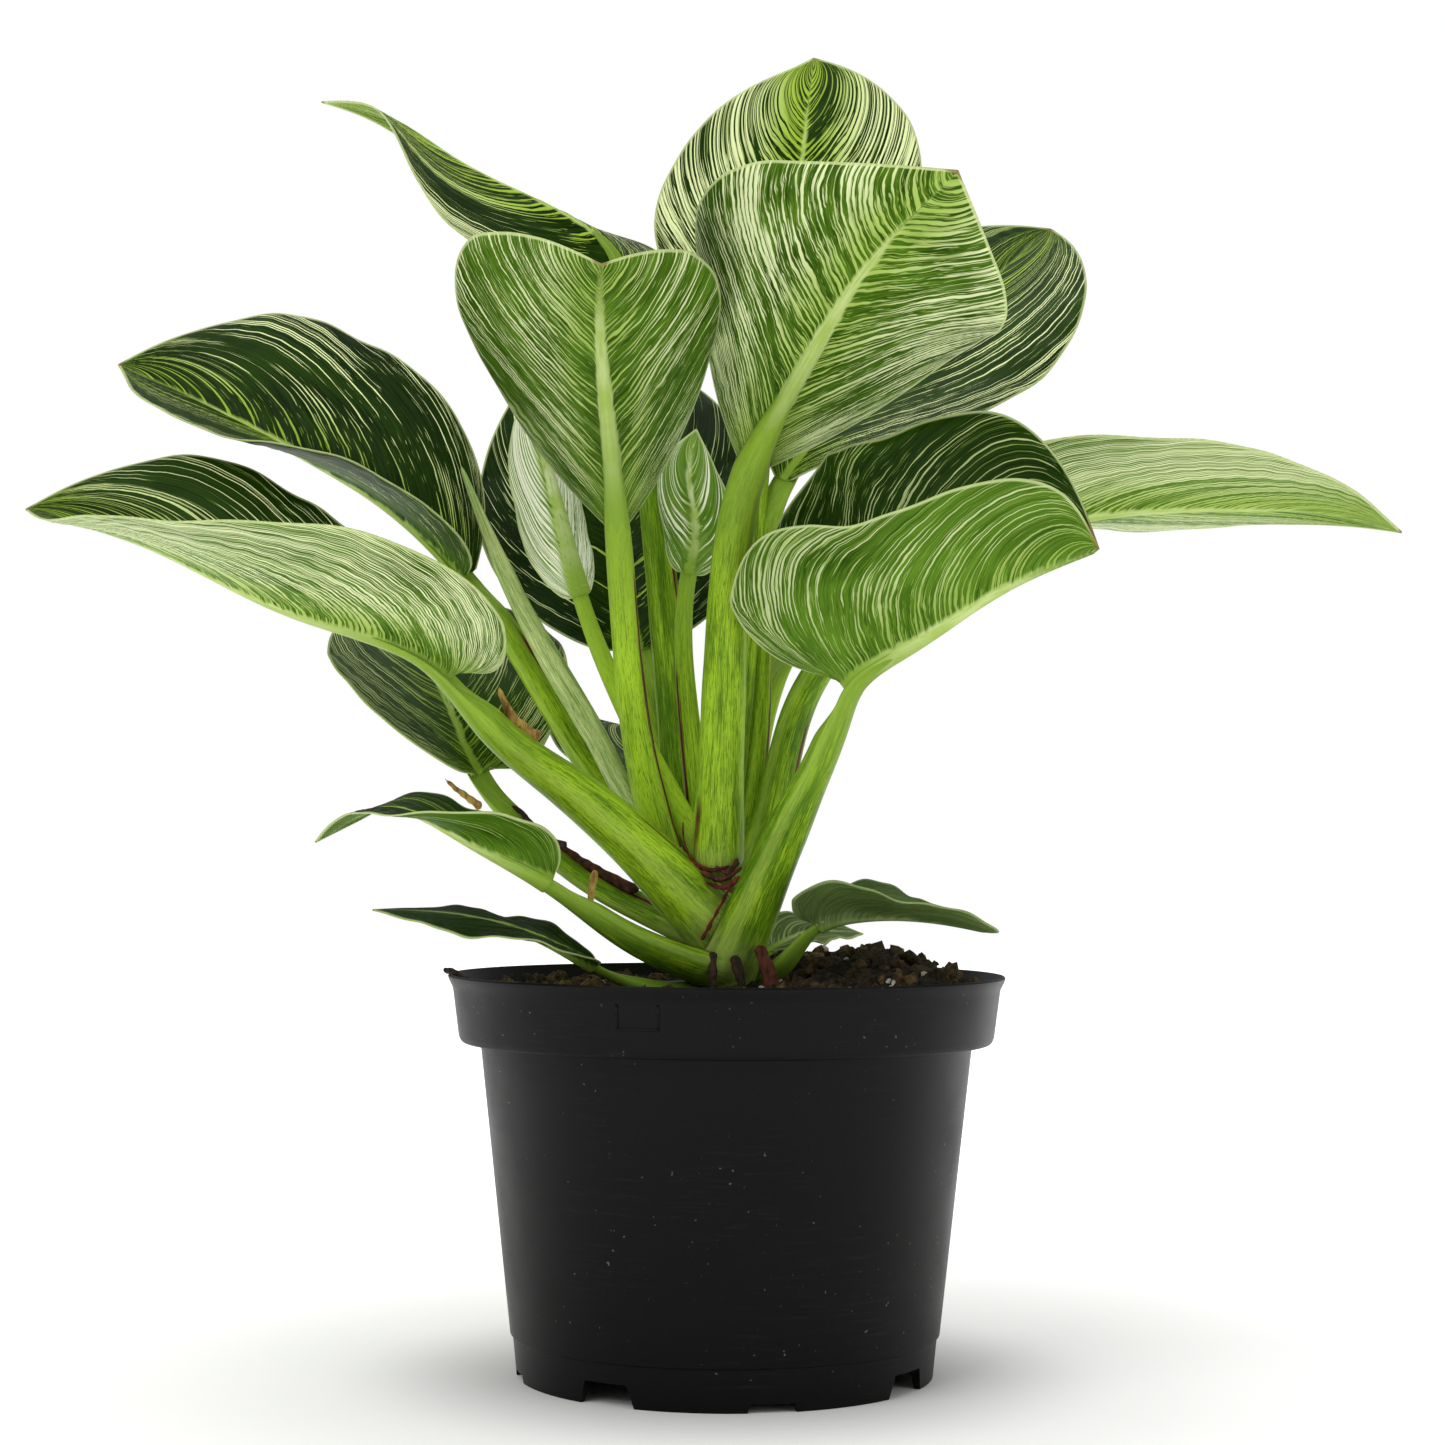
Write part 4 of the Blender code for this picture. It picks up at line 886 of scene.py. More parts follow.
def off_centre(step, value, amount):
    """A value from 0 to 1 made to swing evenly about 0: the value less a half, times an amount."""
    return step("multiply", step("subtract", value, 0.5), amount)


def leaf_skin(name, green, pale, stripe, rib_colour, rib_half, lime_reach, amount, softness, roughness):
    """Living leaf, smooth and half matt: a waxy skin with pale stripes that follow its side veins.

    The stripes are sine lines one spacing apart that wander a little. Noise stretched along the veins is
    added to them and cut at a level, so that they swell, taper, break and leave out places as the real ones
    do. Finer lines and short flecks lie between them. The cream cells lie over green ones, so the edges of a
    stripe are soft and lime. The midrib and the edge are pale lines, and the tip is a little withered.
    """
    material, step = start_material(name)
    straight, place, look = (step("attribute", attribute_name=key) for key in ("stripes", "place", "look"))
    margin, along, across = (step(axis, place) for axis in ("x of", "y of", "z of"))
    cream, tone, faint = (step(axis, look) for axis in ("x of", "y of", "z of"))

    wander = grown_noise(step, straight, (0.16, 0.10, 1), 3, 0.55, 3.3)
    stripes = step("move by", straight, step("join", off_centre(step, wander, 2.6)))
    turns = step("multiply", step("x of", stripes), 2 * math.pi)
    drift = grown_noise(step, stripes, (0.10, 0.06, 1), 1)
    level = step("add", step("add", off_centre(step, drift, 0.24), cream), amount)
    pale_share = 0.0
    for lines, weight, stretch, detail, cut_at, strength, shift in STRIPE_CUTS:
        line = step("multiply", step("sine", step("multiply", turns, lines)), weight)
        grown = grown_noise(step, stripes, stretch, detail, 0.6, shift)
        raised = step("add", grown, step("add", line, level))
        cut = step("multiply", step("ramp", raised, cut_at - softness, cut_at + softness), strength)
        pale_share = step("larger", pale_share, cut)
    fade = grown_noise(step, stripes, (0.7, 0.16, 1), 2, 0.5, 51.0)
    pale_share = step("multiply", pale_share, step("ramp", fade, 0.25, 0.5, 0.62, 1.0))
    pale_share = step("multiply", pale_share, step("subtract", 1.0, faint))

    streak = grown_noise(step, stripes, (2.6, 0.14, 1), 3, 0.65, 41.7)
    cloud = grown_noise(step, place, (0.05, 2.0, 0.06), 2, 0.5, 5.1)
    shade = step("add", off_centre(step, streak, 1.8), step("add", off_centre(step, cloud, 0.9), tone))
    body = step("mix", step("ramp", shade, -0.45, 0.55), green, pale)
    stripe_colour = step("mix", step("ramp", across, 0.12 * lime_reach, lime_reach), rib_colour, stripe)
    stripe_colour = step("mix", step("ramp", pale_share, 0.25, 0.85), rib_colour, stripe_colour)
    skin = step("mix", pale_share, body, stripe_colour)

    edge_share = step("ramp", margin, 1.0, 0.3, 0, 0.8)
    edge_share = step("multiply", edge_share, step("ramp", faint, 0.3, 0.9, 1.0, 0.3))
    skin = step("mix", edge_share, skin, linear(EDGE_CREAM))
    rib_width = step("add", step("multiply", step("subtract", 1.0, along), rib_half), 0.15)
    fray = off_centre(step, grown_noise(step, stripes, (0.8, 0.1, 1), 1, 0.5, 63.0), 2.0)
    beside = step("add", step("subtract", across, rib_width), fray)
    rib_share = step("multiply", step("ramp", beside, 0.7, -0.5), step("ramp", along, 0.98, 0.6, 0.15, 1.0))
    rib_share = step("multiply", rib_share, step("ramp", faint, 0.4, 0.9, 1.0, 0.3))
    grain = grown_noise(step, place, (0, 9.0, 1.6), 3, 0.6, 71.0)
    rib_tint = step("mix", step("ramp", grain, 0.30, 0.70, 0.0, 0.45), rib_colour, stripe)
    rib_tint = step("mix", step("ramp", along, 0.40, 0.0), rib_tint, linear(STALK_LIME))
    skin = step("mix", rib_share, skin, rib_tint)
    withered = step("add", along, off_centre(step, cloud, 0.02))
    skin = step("mix", step("ramp", withered, 0.988, 0.997, 0, 0.75), skin, linear(WITHERED_BROWN))

    height = step("add", step("multiply", streak, 0.6), step("multiply", pale_share, -0.25))
    waxy = grown_noise(step, place, (0.3, 8, 0.3), 2, 0.5, 9.0)
    rough = step("ramp", waxy, 0.3, 0.7, roughness - 0.05, roughness + 0.07)
    return wear(material, step("surface", skin, rough, 0.06, step("bump", 0.35, 0.3 * MM, height)))


def stalk_skin(name, green, pale, red):
    """Juicy leaf stalk, smooth and half glossy: light and dark dashes run up it beside a red sheath edge."""
    material, step = start_material(name)
    place, turn, end = (step("attribute", attribute_name=key) for key in ("place", "round", "blade"))
    up, arc, reach = (step(axis, place) for axis in ("x of", "y of", "z of"))
    across, over, seed = (step(axis, turn) for axis in ("x of", "y of", "z of"))
    near_blade, tone = step("x of", end), step("y of", end)
    drawn_out = (step("multiply", across, 9.0), step("multiply", over, 9.0), step("multiply", up, 0.05))
    grown = step("move by", step("join", *drawn_out), step("join", seed, seed, seed))
    streak = grown_noise(step, grown, (0.8, 0.8, 0.7), 3, 0.6)
    fine = grown_noise(step, grown, (3.0, 3.0, 3.0), 3, 0.65, 17.0)
    patch = grown_noise(step, grown, (0.2, 0.2, 0.9), 2, 0.5, 33.0)
    shade = step("add", step("multiply", streak, 0.2), step("multiply", fine, 0.5))
    shade = step("add", shade, step("multiply", patch, 0.3))
    skin = step("mix", step("ramp", step("add", shade, tone), 0.36, 0.60), green, pale)
    dash = grown_noise(step, grown, (2.4, 2.4, 6.0), 2, 0.6, 58.0)
    dark = tuple(0.5 * channel for channel in green)
    skin = step("mix", step("ramp", dash, 0.54, 0.64, 0, 0.6), skin, dark)
    wing = step("ramp", step("size of", across), 0.92, 0.995, 0, 0.35)
    skin = step("mix", wing, skin, linear(WING_LIME))
    skin = step("mix", step("ramp", up, 12.0, 0.0, 0, 0.35), skin, linear(FOOT_CREAM))
    skin = step("mix", step("multiply", near_blade, 0.7), skin, linear(STALK_LIME))
    ragged = step("add", arc, off_centre(step, streak, 2.4))
    skin = step("mix", step("multiply", step("ramp", ragged, 1.0, 0.45), reach), skin, red)
    return wear(material, step("surface", skin, 0.38, 0.09, step("bump", 0.35, 0.3 * MM, shade)))


def dry_skin(name, dark, light, grain):
    """Root bark and dry sheath: dull, fibrous and cracked along its length."""
    material, step = start_material(name)
    place = step("object place")
    fibres = grown_noise(step, place, (900 * grain, 900 * grain, 260 * grain), 4, 0.7)
    blotch = grown_noise(step, place, (150, 150, 150), 2, 0.5, 3.0)
    shade = step("add", step("multiply", fibres, 0.6), step("multiply", blotch, 0.4))
    skin = step("mix", step("ramp", shade, 0.35, 0.62), dark, light)
    return wear(material, step("surface", skin, 0.8, 0.25, step("bump", 0.6, 0.5 * MM, fibres)))


def moulded_plastic(name, plastic, dust):
    """Injection-moulded black polypropylene: satin, faintly grained, with fine scuffs and grains of dust."""
    material, step = start_material(name)
    place = step("object place")
    cloud = grown_noise(step, place, (26, 26, 26), 3, 0.55)
    scuff = grown_noise(step, place, (60, 60, 900), 4, 0.7, 2.0)
    speck = grown_noise(step, place, (700, 700, 700), 1, 0.4, 8.0)
    grain = grown_noise(step, place, (2600, 2600, 2600), 2, 0.5, 5.0)
    speck_share = step("multiply", step("ramp", speck, 0.755, 0.79), step("ramp", cloud, 0.40, 0.60))
    haze = step("multiply", step("ramp", scuff, 0.5, 0.8), step("ramp", cloud, 0.35, 0.7))
    skin = step("mix", step("multiply", haze, 0.05), plastic, dust)
    skin = step("mix", step("multiply", speck_share, 0.5), skin, dust)
    height = step("add", step("multiply", grain, 0.5), step("multiply", cloud, 1.5))
    worn = step("add", cloud, step("multiply", haze, 0.3))
    rough = step("ramp", worn, 0.3, 0.9, 0.36, 0.50)
    return wear(material, step("surface", skin, rough, 0.11, step("bump", 0.25, 0.2 * MM, height)))


def potting_mix(name, peat, light, spacing_mm):
    """Damp peat potting mix or bark: matt crumbs, dark with a few browner ones."""
    material, step = start_material(name)
    place = step("object place")
    per_metre = 1 / (spacing_mm * MM)
    crumb = grown_noise(step, place, (per_metre,) * 3, 5, 0.7)
    patch = grown_noise(step, place, (per_metre / 6,) * 3, 2, 0.5, 4.0)
    shade = step("add", step("multiply", crumb, 0.65), step("multiply", patch, 0.35))
    skin = step("mix", step("ramp", shade, 0.42, 0.68), peat, light)
    return wear(material, step("surface", skin, 0.9, 0.2, step("bump", 0.8, 1.0 * MM, crumb)))


def leaf_skins(settings):
    """The skins of mature, young and old leaves, for the upper side and the underside."""
    chosen = dict(upper=(settings.upper_green, settings.upper_stripe),
                  under=(settings.under_green, settings.under_stripe))
    skins = {}
    for (kind, side), (name, green, pale, stripe, rib, *measures) in LEAF_SKINS.items():
        green = linear(green) if green else tuple(chosen[side][0])
        stripe = linear(stripe) if stripe else tuple(chosen[side][1])
        skins[kind, side] = leaf_skin(name, green, linear(pale), stripe, linear(rib), *measures)
    return skins


class BIRKIN_OT_leaves(bpy.types.Operator):
    """Builds the striped leaf blades"""

    bl_idname = "birkin.leaves"
    bl_label = "Leaf blades"

    def execute(self, context):
        settings = context.scene.birkin_leaf
        skins = leaf_skins(settings)
        for seed, (name, leaf) in enumerate(LEAVES.items(), start=1):
            build_blade(name, leaf, seed, settings, skins)
        return {"FINISHED"}


class BIRKIN_OT_stalks(bpy.types.Operator):
    """Builds the leaf stalks, the stem and the rolled new leaf"""

    bl_idname = "birkin.stalks"
    bl_label = "Stalks and stem"

    def execute(self, context):
        settings = context.scene.birkin_stalk
        skin = stalk_skin("juicy_stalk", tuple(settings.green), tuple(settings.pale), tuple(settings.red))
        for seed, (name, leaf) in enumerate(LEAVES.items(), start=1):
            build_stalk(name, leaf, seed, settings, skin)
        build_stem(stalk_skin("old_stem_skin", linear("#2b260f"), linear("#55591f"), linear("#301a10")))
        build_spear(stalk_skin("rolled_young_leaf", linear("#5c8626"), linear("#c6d58c"), linear("#54752e")))
        return {"FINISHED"}


def round_line(line, radii, rows):
    """Points and radii along the spline through a few points, and how far along it each lies."""
    points = np.array(line, float)
    knots = chord_knots(points)
    at = np.linspace(0, knots[-1], rows)
    return spline(points, knots, at), np.interp(at, knots, radii), at


def build_stem(skin):
    """The short stem: a round tube with low rings where old leaves stood, each a sine of its height."""
    line, radii, at = round_line(STEM_LINE, STEM_RADII, 80)
    rings = 1 + RING_RELIEF * np.sin(2 * np.pi * at / RING_SPACING) + RING_RELIEF * waves(line, 12, 3)
    width = 2 * (radii * rings * round_ends(at / at[-1], at[-1], 4.0))
    points, faces, _, turn = tube(line, (0, -1, 0), width, width, STEM_SIDES)
    place = np.stack([np.repeat(at, STEM_SIDES), np.full(len(points), 9.0), np.zeros(len(points))], -1)
    add_piece("main_stem", points, faces, skin, ("stem",),
              {"place": place, "round": round_place(turn, len(at), 30.0)})


def build_spear(skin):
    """The rolled leaf: a tapered tube whose radius steps down at the free margin that winds up it."""
    line, radii, at = round_line(SPEAR_LINE, SPEAR_RADII, 120)
    width = 2 * radii * round_ends(at / at[-1], at[-1], 3.0)
    points, faces, _, turn = tube(line, (0, -1, 0), width, width, STEM_SIDES)
    winding = (turn[None] / (2 * np.pi) - at[:, None] / ROLL_PITCH) % 1.0
    step = 1 + ROLL_WIDENING * (winding - 0.5) - ROLL_STEP * smooth(0.94, 1.0, winding)
    out = (points.reshape(len(at), STEM_SIDES, 3) - line[:, None]) * step[..., None]
    points = (line[:, None] + out).reshape(-1, 3)
    arc = np.abs(winding - 0.97).ravel() * 20
    place = np.stack([np.repeat(at, STEM_SIDES) + 20, arc, np.zeros(len(points))], -1)
    add_piece("spear_leaf", points, faces, skin, ("rolled_leaf",),
              {"place": place, "round": round_place(turn, len(at), 31.0)})


class BIRKIN_OT_scraps(bpy.types.Operator):
    """Builds the root stubs, the dry sheaths and the small scraps"""

    bl_idname = "birkin.scraps"
    bl_label = "Roots and dry sheaths"

    def execute(self, context):
        skins = {key: dry_skin(name, linear(dark), linear(light), grain)
                 for key, (_, name, dark, light, grain) in DRY_SKINS.items()}
        for seed, (name, scrap) in enumerate((SCRAPS | CLUMP_SCRAPS).items(), start=51):
            slot, skin = DRY_SKINS[scrap["skin"]][0], skins[scrap["skin"]]
            ends = np.array(scrap["thick"], float)
            line, share, at = round_line(scrap["line"], np.linspace(0, 1, len(scrap["line"])), 48)
            swells = 1 + SCRAP_SWELLS[1] * waves(line, SCRAP_SWELLS[0], seed)
            full = round_ends(at / at[-1], at[-1], 1.5) * swells
            widths, heights = ((ends[0, i] + (ends[1, i] - ends[0, i]) * share) * full for i in (0, 1))
            points, faces, _, _ = tube(line, scrap["face"], widths, heights, SCRAP_SIDES, SCRAP_CHANNEL)
            fibres = SCRAP_FIBRES[1] * waves(points, SCRAP_FIBRES[0], seed + 9)[:, None]
            points = points + fibres * unit(points - np.repeat(line, SCRAP_SIDES, 0))
            add_piece(f"{name}_fibrous", points, faces, skin, (name,) if name in SCRAPS else ())
        return {"FINISHED"}


def turned(profile, sides):
    """A closed surface of revolution: a profile of (radius, height) points carried round the axis.

    The profile's first and last points lie on the axis, and each becomes one point with a fan of triangles.
    """
    profile = np.asarray(profile, float)
    turn = np.arange(sides) * 2 * np.pi / sides
    ring = profile[1:-1]
    shell = np.stack([ring[:, :1] * np.cos(turn), ring[:, :1] * np.sin(turn),
                      np.repeat(ring[:, 1:], sides, axis=1)], -1).reshape(-1, 3)
    count = len(shell)
    points = np.concatenate([shell, [(0, 0, profile[0, 1]), (0, 0, profile[-1, 1])]])
    j = np.arange(sides)
    k = (j + 1) % sides
    last = count - sides
    fans = np.concatenate([np.stack([np.full(sides, count), k, j], -1),
                           np.stack([np.full(sides, count + 1), last + j, last + k], -1)])
    return points, [grid_quads(len(ring), sides, wrap=True), fans]


def rounded(corners):
    """A profile through corners given as (radius, height, rounding).

    Each corner is cut back by its rounding and filled with a quadratic curve.
    """
    corners = np.asarray(corners, float)
    run = [corners[0, :2]]
    for before, here, after in zip(corners, corners[1:], corners[2:]):
        point, rounding = here[:2], here[2]
        if rounding == 0:
            run.append(point)
            continue
        back, on = unit(before[:2] - point) * rounding, unit(after[:2] - point) * rounding
        share = np.linspace(0, 1, 6)[:, None]
        curve = (1 - share) ** 2 * (point + back) + 2 * share * (1 - share) * point + share**2 * (point + on)
        run += list(curve)
    run.append(corners[-1, :2])
    return np.array(run)


def pot_profile(height):
    """The pot's section, from the middle of its underside round the outside to the middle of its floor."""
    inner_foot = BODY_BOTTOM_RADIUS - WALL
    inner_body = BODY_TOP_RADIUS - WALL
    inner_band = BAND_BOTTOM_RADIUS - WALL
    return rounded((
        (0, FLOOR_BOTTOM, 0), (FOOT_RADIUS - 2.4, FLOOR_BOTTOM, 0.5), (FOOT_RADIUS - 2.0, 0, 0.3),
        (FOOT_RADIUS, 0, 0.3), (FOOT_TOP_RADIUS, FOOT_LINE - 0.9, 0.2),
        (FOOT_TOP_RADIUS - 0.1, FOOT_LINE - 0.4, 0.1), (BODY_BOTTOM_RADIUS, FOOT_LINE - 0.1, 0.25),
        (BODY_TOP_RADIUS, BAND_BOTTOM + 0.6, 0.5), (BAND_BOTTOM_RADIUS - 0.8, BAND_BOTTOM, 0.9),
        (BAND_BOTTOM_RADIUS + 0.1, BAND_BOTTOM + 1.6, 0.9), (BAND_TOP_RADIUS, height - 4.0, 0.9),
        (LIP_RADIUS - 0.2, height - 1.5, 0.5), (LIP_RADIUS, height - 0.5, 0.35),
        (LIP_RADIUS - 0.7, height, 0.4), (BAND_TOP_RADIUS - WALL, height - 4.0, 1.0),
        (inner_band, BAND_BOTTOM + 2.2, 0.6), (inner_body, BAND_BOTTOM + 1.8, 0.4),
        (inner_foot, FLOOR_TOP + 2.0, 1.0), (inner_foot - 2.0, FLOOR_TOP, 0.6), (0, FLOOR_TOP, 0)))


def around_pot(points, angle):
    """Points turned about the pot's axis."""
    cos, sin = math.cos(angle), math.sin(angle)
    x, y, z = np.asarray(points, float).T
    return np.stack([x * cos - y * sin, x * sin + y * cos, z], -1)


def notch_block(notch, number):
    """The eight corners of a wedge through the foot ring, narrower at its top."""
    half, top = notch["width"] / 2, notch["width"] / 2 - notch["slant"]
    section = ((-half, -3.0), (half, -3.0), (top, notch["height"]), (-top, notch["height"]))
    reach = (FOOT_RADIUS + 6, FOOT_RADIUS - notch["depth"])
    points = [(x, -radius, z) for radius in reach for x, z in section]
    return around_pot(points, math.radians(notch["first_deg"] + 90 * number))


def drain_block(number):
    """The eight corners of a slot through the floor behind a tall notch."""
    wide, deep = DRAIN_HOLE[0] / 2, DRAIN_HOLE[1] / 2
    corners = ((-wide, -deep), (wide, -deep), (wide, deep), (-wide, deep))
    points = [(x, y - DRAIN_HOLE_RADIUS, z) for z in (FLOOR_TOP + 1.5, FLOOR_BOTTOM - 3) for x, y in corners]
    return around_pot(points, math.radians(TALL_NOTCH["first_deg"] + 90 * number))


BOX_FACES = ((0, 1, 2, 3), (7, 6, 5, 4), (0, 4, 5, 1), (1, 5, 6, 2), (2, 6, 7, 3), (3, 7, 4, 0))


def cut(piece, blocks):
    """Cuts wedges out of a piece with one Boolean, and leaves the cut mesh with no modifier."""
    points = np.concatenate(blocks) * MM
    faces = [tuple(8 * i + corner for corner in face) for i in range(len(blocks)) for face in BOX_FACES]
    mesh = bpy.data.meshes.new("cutter")
    mesh.from_pydata(points.tolist(), [], faces)
    cutter = bpy.data.objects.new("cutter", mesh)
    bpy.context.scene.collection.objects.link(cutter)
    carve = piece.modifiers.new("cut", "BOOLEAN")
    carve.operation = "DIFFERENCE"
    carve.solver = "EXACT"
    carve.object = cutter
    evaluated = piece.evaluated_get(bpy.context.evaluated_depsgraph_get())
    piece.data = bpy.data.meshes.new_from_object(evaluated)
    piece.modifiers.clear()
    bpy.data.objects.remove(cutter)
    piece.data.shade_smooth()
    piece.data.set_sharp_from_angle(angle=math.radians(32))


def band_strip(left, right, low, high, height):
    """A thin raised strip on the pot's band: a box that is bent round the band's cone, on the pot's front."""
    x = np.linspace(left, right, 14)
    turn = x / BAND_TOP_RADIUS
    rings = []
    cone_heights, cone_radii = (BAND_BOTTOM + 1.6, height - 4.0), (BAND_BOTTOM_RADIUS + 0.1, BAND_TOP_RADIUS)
    for depth, z in ((-0.3, low), (MARK["proud"], low), (MARK["proud"], high), (-0.3, high)):
        radius = depth + np.interp(z, cone_heights, cone_radii)
        rings.append(np.stack([radius * np.sin(turn), -radius * np.cos(turn), np.full_like(x, z)], -1))
    points = np.stack(rings, 1).reshape(-1, 3)
    return points, [grid_quads(len(x), 4, wrap=True), np.array([[3, 2, 1, 0]]),
                    np.array([[0, 1, 2, 3]]) + len(points) - 4]


def band_mark(height):
    """The plain rectangle on the band: two upright strips and one along the bottom, in one mesh."""
    left, right, low, high, line = (MARK[key] for key in ("left", "right", "low", "high", "line"))
    strips = (band_strip(left, left + line, low + line, high, height),
              band_strip(right - line, right, low + line, high, height),
              band_strip(left, right, low, low + line, height))
    points = np.concatenate([part for part, _ in strips])
    counts = np.cumsum([0] + [len(part) for part, _ in strips])
    return points, [part + start for (_, faces), start in zip(strips, counts) for part in faces]


class BIRKIN_OT_pot(bpy.types.Operator):
    """Builds the nursery pot with its notched foot"""

    bl_idname = "birkin.pot"
    bl_label = "Pot"

    def execute(self, context):
        settings = context.scene.birkin_pot
        skin = moulded_plastic("moulded_black_polypropylene", tuple(settings.plastic), tuple(settings.dust))
        points, faces = turned(pot_profile(settings.height / MM), settings.sides)
        pot = add_piece("nursery_pot", points, faces, skin, ("pot",))
        cut(pot, [drain_block(i) for i in range(4)])
        cut(pot, [notch_block(notch, i) for notch in (TALL_NOTCH, SHALLOW_NOTCH) for i in range(4)])
        points, faces = band_mark(settings.height / MM)
        add_piece("band_rectangle", points, faces, skin)
        return {"FINISHED"}


def soil_height(x, y):
    """The soil's surface: a level near the lip plus a Gaussian heap on the right and low sine lumps."""
    away_x, away_y = (x - MOUND_CENTRE[0]) / MOUND_SPREAD[0], (y - MOUND_CENTRE[1]) / MOUND_SPREAD[1]
    mound = np.exp(-away_x**2 - away_y**2)
    lumps = np.sin(0.31 * x + 1.1) * np.sin(0.27 * y + 0.4) + 0.6 * np.sin(0.53 * x - 0.41 * y)
    edge = np.clip((BAND_BOTTOM_RADIUS - np.hypot(x, y)) / 18, 0, 1)
    return SOIL_EDGE + (MOUND_RISE * mound + 0.8 * lumps) * edge * (2 - edge)


def soil_surface():
    """The block of soil: a turned grid whose top follows soil_height with three sizes of crumbs on it."""
    band = BAND_BOTTOM_RADIUS - WALL
    rings = np.linspace(1, 0.004, SOIL_RINGS)
    foot = BODY_BOTTOM_RADIUS - WALL
    profile = [(0, FLOOR_TOP + 0.4), (foot - 2.2, FLOOR_TOP + 0.4), (foot - 0.2, FLOOR_TOP + 3.0),
               (BODY_TOP_RADIUS - WALL - 0.3, BAND_BOTTOM + 2.2), (band - 0.3, BAND_BOTTOM + 3.4)]
    profile += [(band * share + 0.4, SOIL_EDGE) for share in rings] + [(0, SOIL_EDGE)]
    points, faces = turned(profile, SOIL_SIDES)
    top = points[:, 2] == SOIL_EDGE
    x, y = points[top, 0], points[top, 1]
    flat = np.stack([x, y, np.zeros_like(x)], -1)
    crumbs = waves(flat, 9, 71) + 0.55 * waves(flat, 3.6, 72, 40) + 0.25 * np.abs(waves(flat, 1.8, 73, 40))
    points[top, 2] = soil_height(x, y) + crumbs * np.clip((band + 0.4 - np.hypot(x, y)) / 3, 0, 1)
    return points, faces


def lump_shape(seed, jagged):
    """A small closed lump: a sphere of five rings of seven points, each point pushed in or out at random."""
    draw = np.random.default_rng(seed)
    profile = [(0, -1)] + [(math.cos(a), math.sin(a)) for a in np.radians((-52, -18, 18, 52))] + [(0, 1)]
    points, faces = turned(profile, 7)
    return points * draw.uniform(1 - jagged, 1 + jagged, (len(points), 1)), faces


def scattered(count, sizes, lift, seed, jagged):
    """Many lumps in one mesh: copies of one lump, each stretched, turned at random and laid on the soil.

    sizes is their least and greatest radius. lift is how far their middles lie above the soil, as a share of
    half their height, and jagged is how far their corners are pushed in or out, as a share of the radius.
    """
    draw = np.random.default_rng(seed)
    shape, faces = lump_shape(seed, jagged)
    radius = LOOSE_REACH * np.sqrt(draw.uniform(0, 1, count))
    angle = draw.uniform(0, 2 * np.pi, count)
    x, y = radius * np.cos(angle), radius * np.sin(angle)
    size = draw.uniform(*sizes, count)[:, None] * draw.uniform(0.45, 1.3, (count, 3)) * (1, 1, 0.7)
    spin = draw.normal(size=(count, 4))
    w, i, j, k = (spin / np.linalg.norm(spin, axis=1, keepdims=True)).T
    turn = np.stack([1 - 2 * (j * j + k * k), 2 * (i * j - k * w), 2 * (i * k + j * w),
                     2 * (i * j + k * w), 1 - 2 * (i * i + k * k), 2 * (j * k - i * w),
                     2 * (i * k - j * w), 2 * (j * k + i * w), 1 - 2 * (i * i + j * j)], -1).reshape(-1, 3, 3)
    centre = np.stack([x, y, soil_height(x, y) + lift * size[:, 2]], -1)
    points = np.einsum("nij,npj->npi", turn, shape[None] * size[:, None]) + centre[:, None]
    offsets = np.arange(count)[:, None, None] * len(shape)
    return points.reshape(-1, 3), [(part[None] + offsets).reshape(-1, part.shape[1]) for part in faces]


class BIRKIN_OT_soil(bpy.types.Operator):
    """Builds the soil with its bark and white grains"""

    bl_idname = "birkin.soil"
    bl_label = "Soil"

    def execute(self, context):
        settings = context.scene.birkin_pot
        peat = potting_mix("damp_peat_mix", tuple(settings.peat), linear("#4a3e2a"), 2.2)
        bark = potting_mix("shredded_bark", linear("#261c12"), linear("#75603f"), 3.0)
        perlite = potting_mix("expanded_perlite", linear("#b9b5a8"), linear("#e8e5da"), 1.2)
        points, faces = soil_surface()
        add_piece("soil_surface", points, faces, peat, ("soil",))
        points, faces = scattered(settings.chips, CHIP_SIZES, 0.5, 81, 0.3)
        add_piece("bark_chips", points, faces, bark)
        points, faces = scattered(settings.grains, GRAIN_SIZES, 0.9, 82, 0.12)
        add_piece("perlite_grains", points, faces, perlite)
        return {"FINISHED"}


def add_lamp(name, place, size, power):
    """A square soft lamp that looks at the plant."""
    data = bpy.data.lights.new(name, "AREA")
    data.size = size
    data.energy = power
    lamp = bpy.data.objects.new(name, data)
    lamp.location = place
    lamp.rotation_euler = (Vector(LAMP_TARGET) - Vector(place)).to_track_quat("-Z", "Y").to_euler()
    bpy.context.scene.collection.objects.link(lamp)


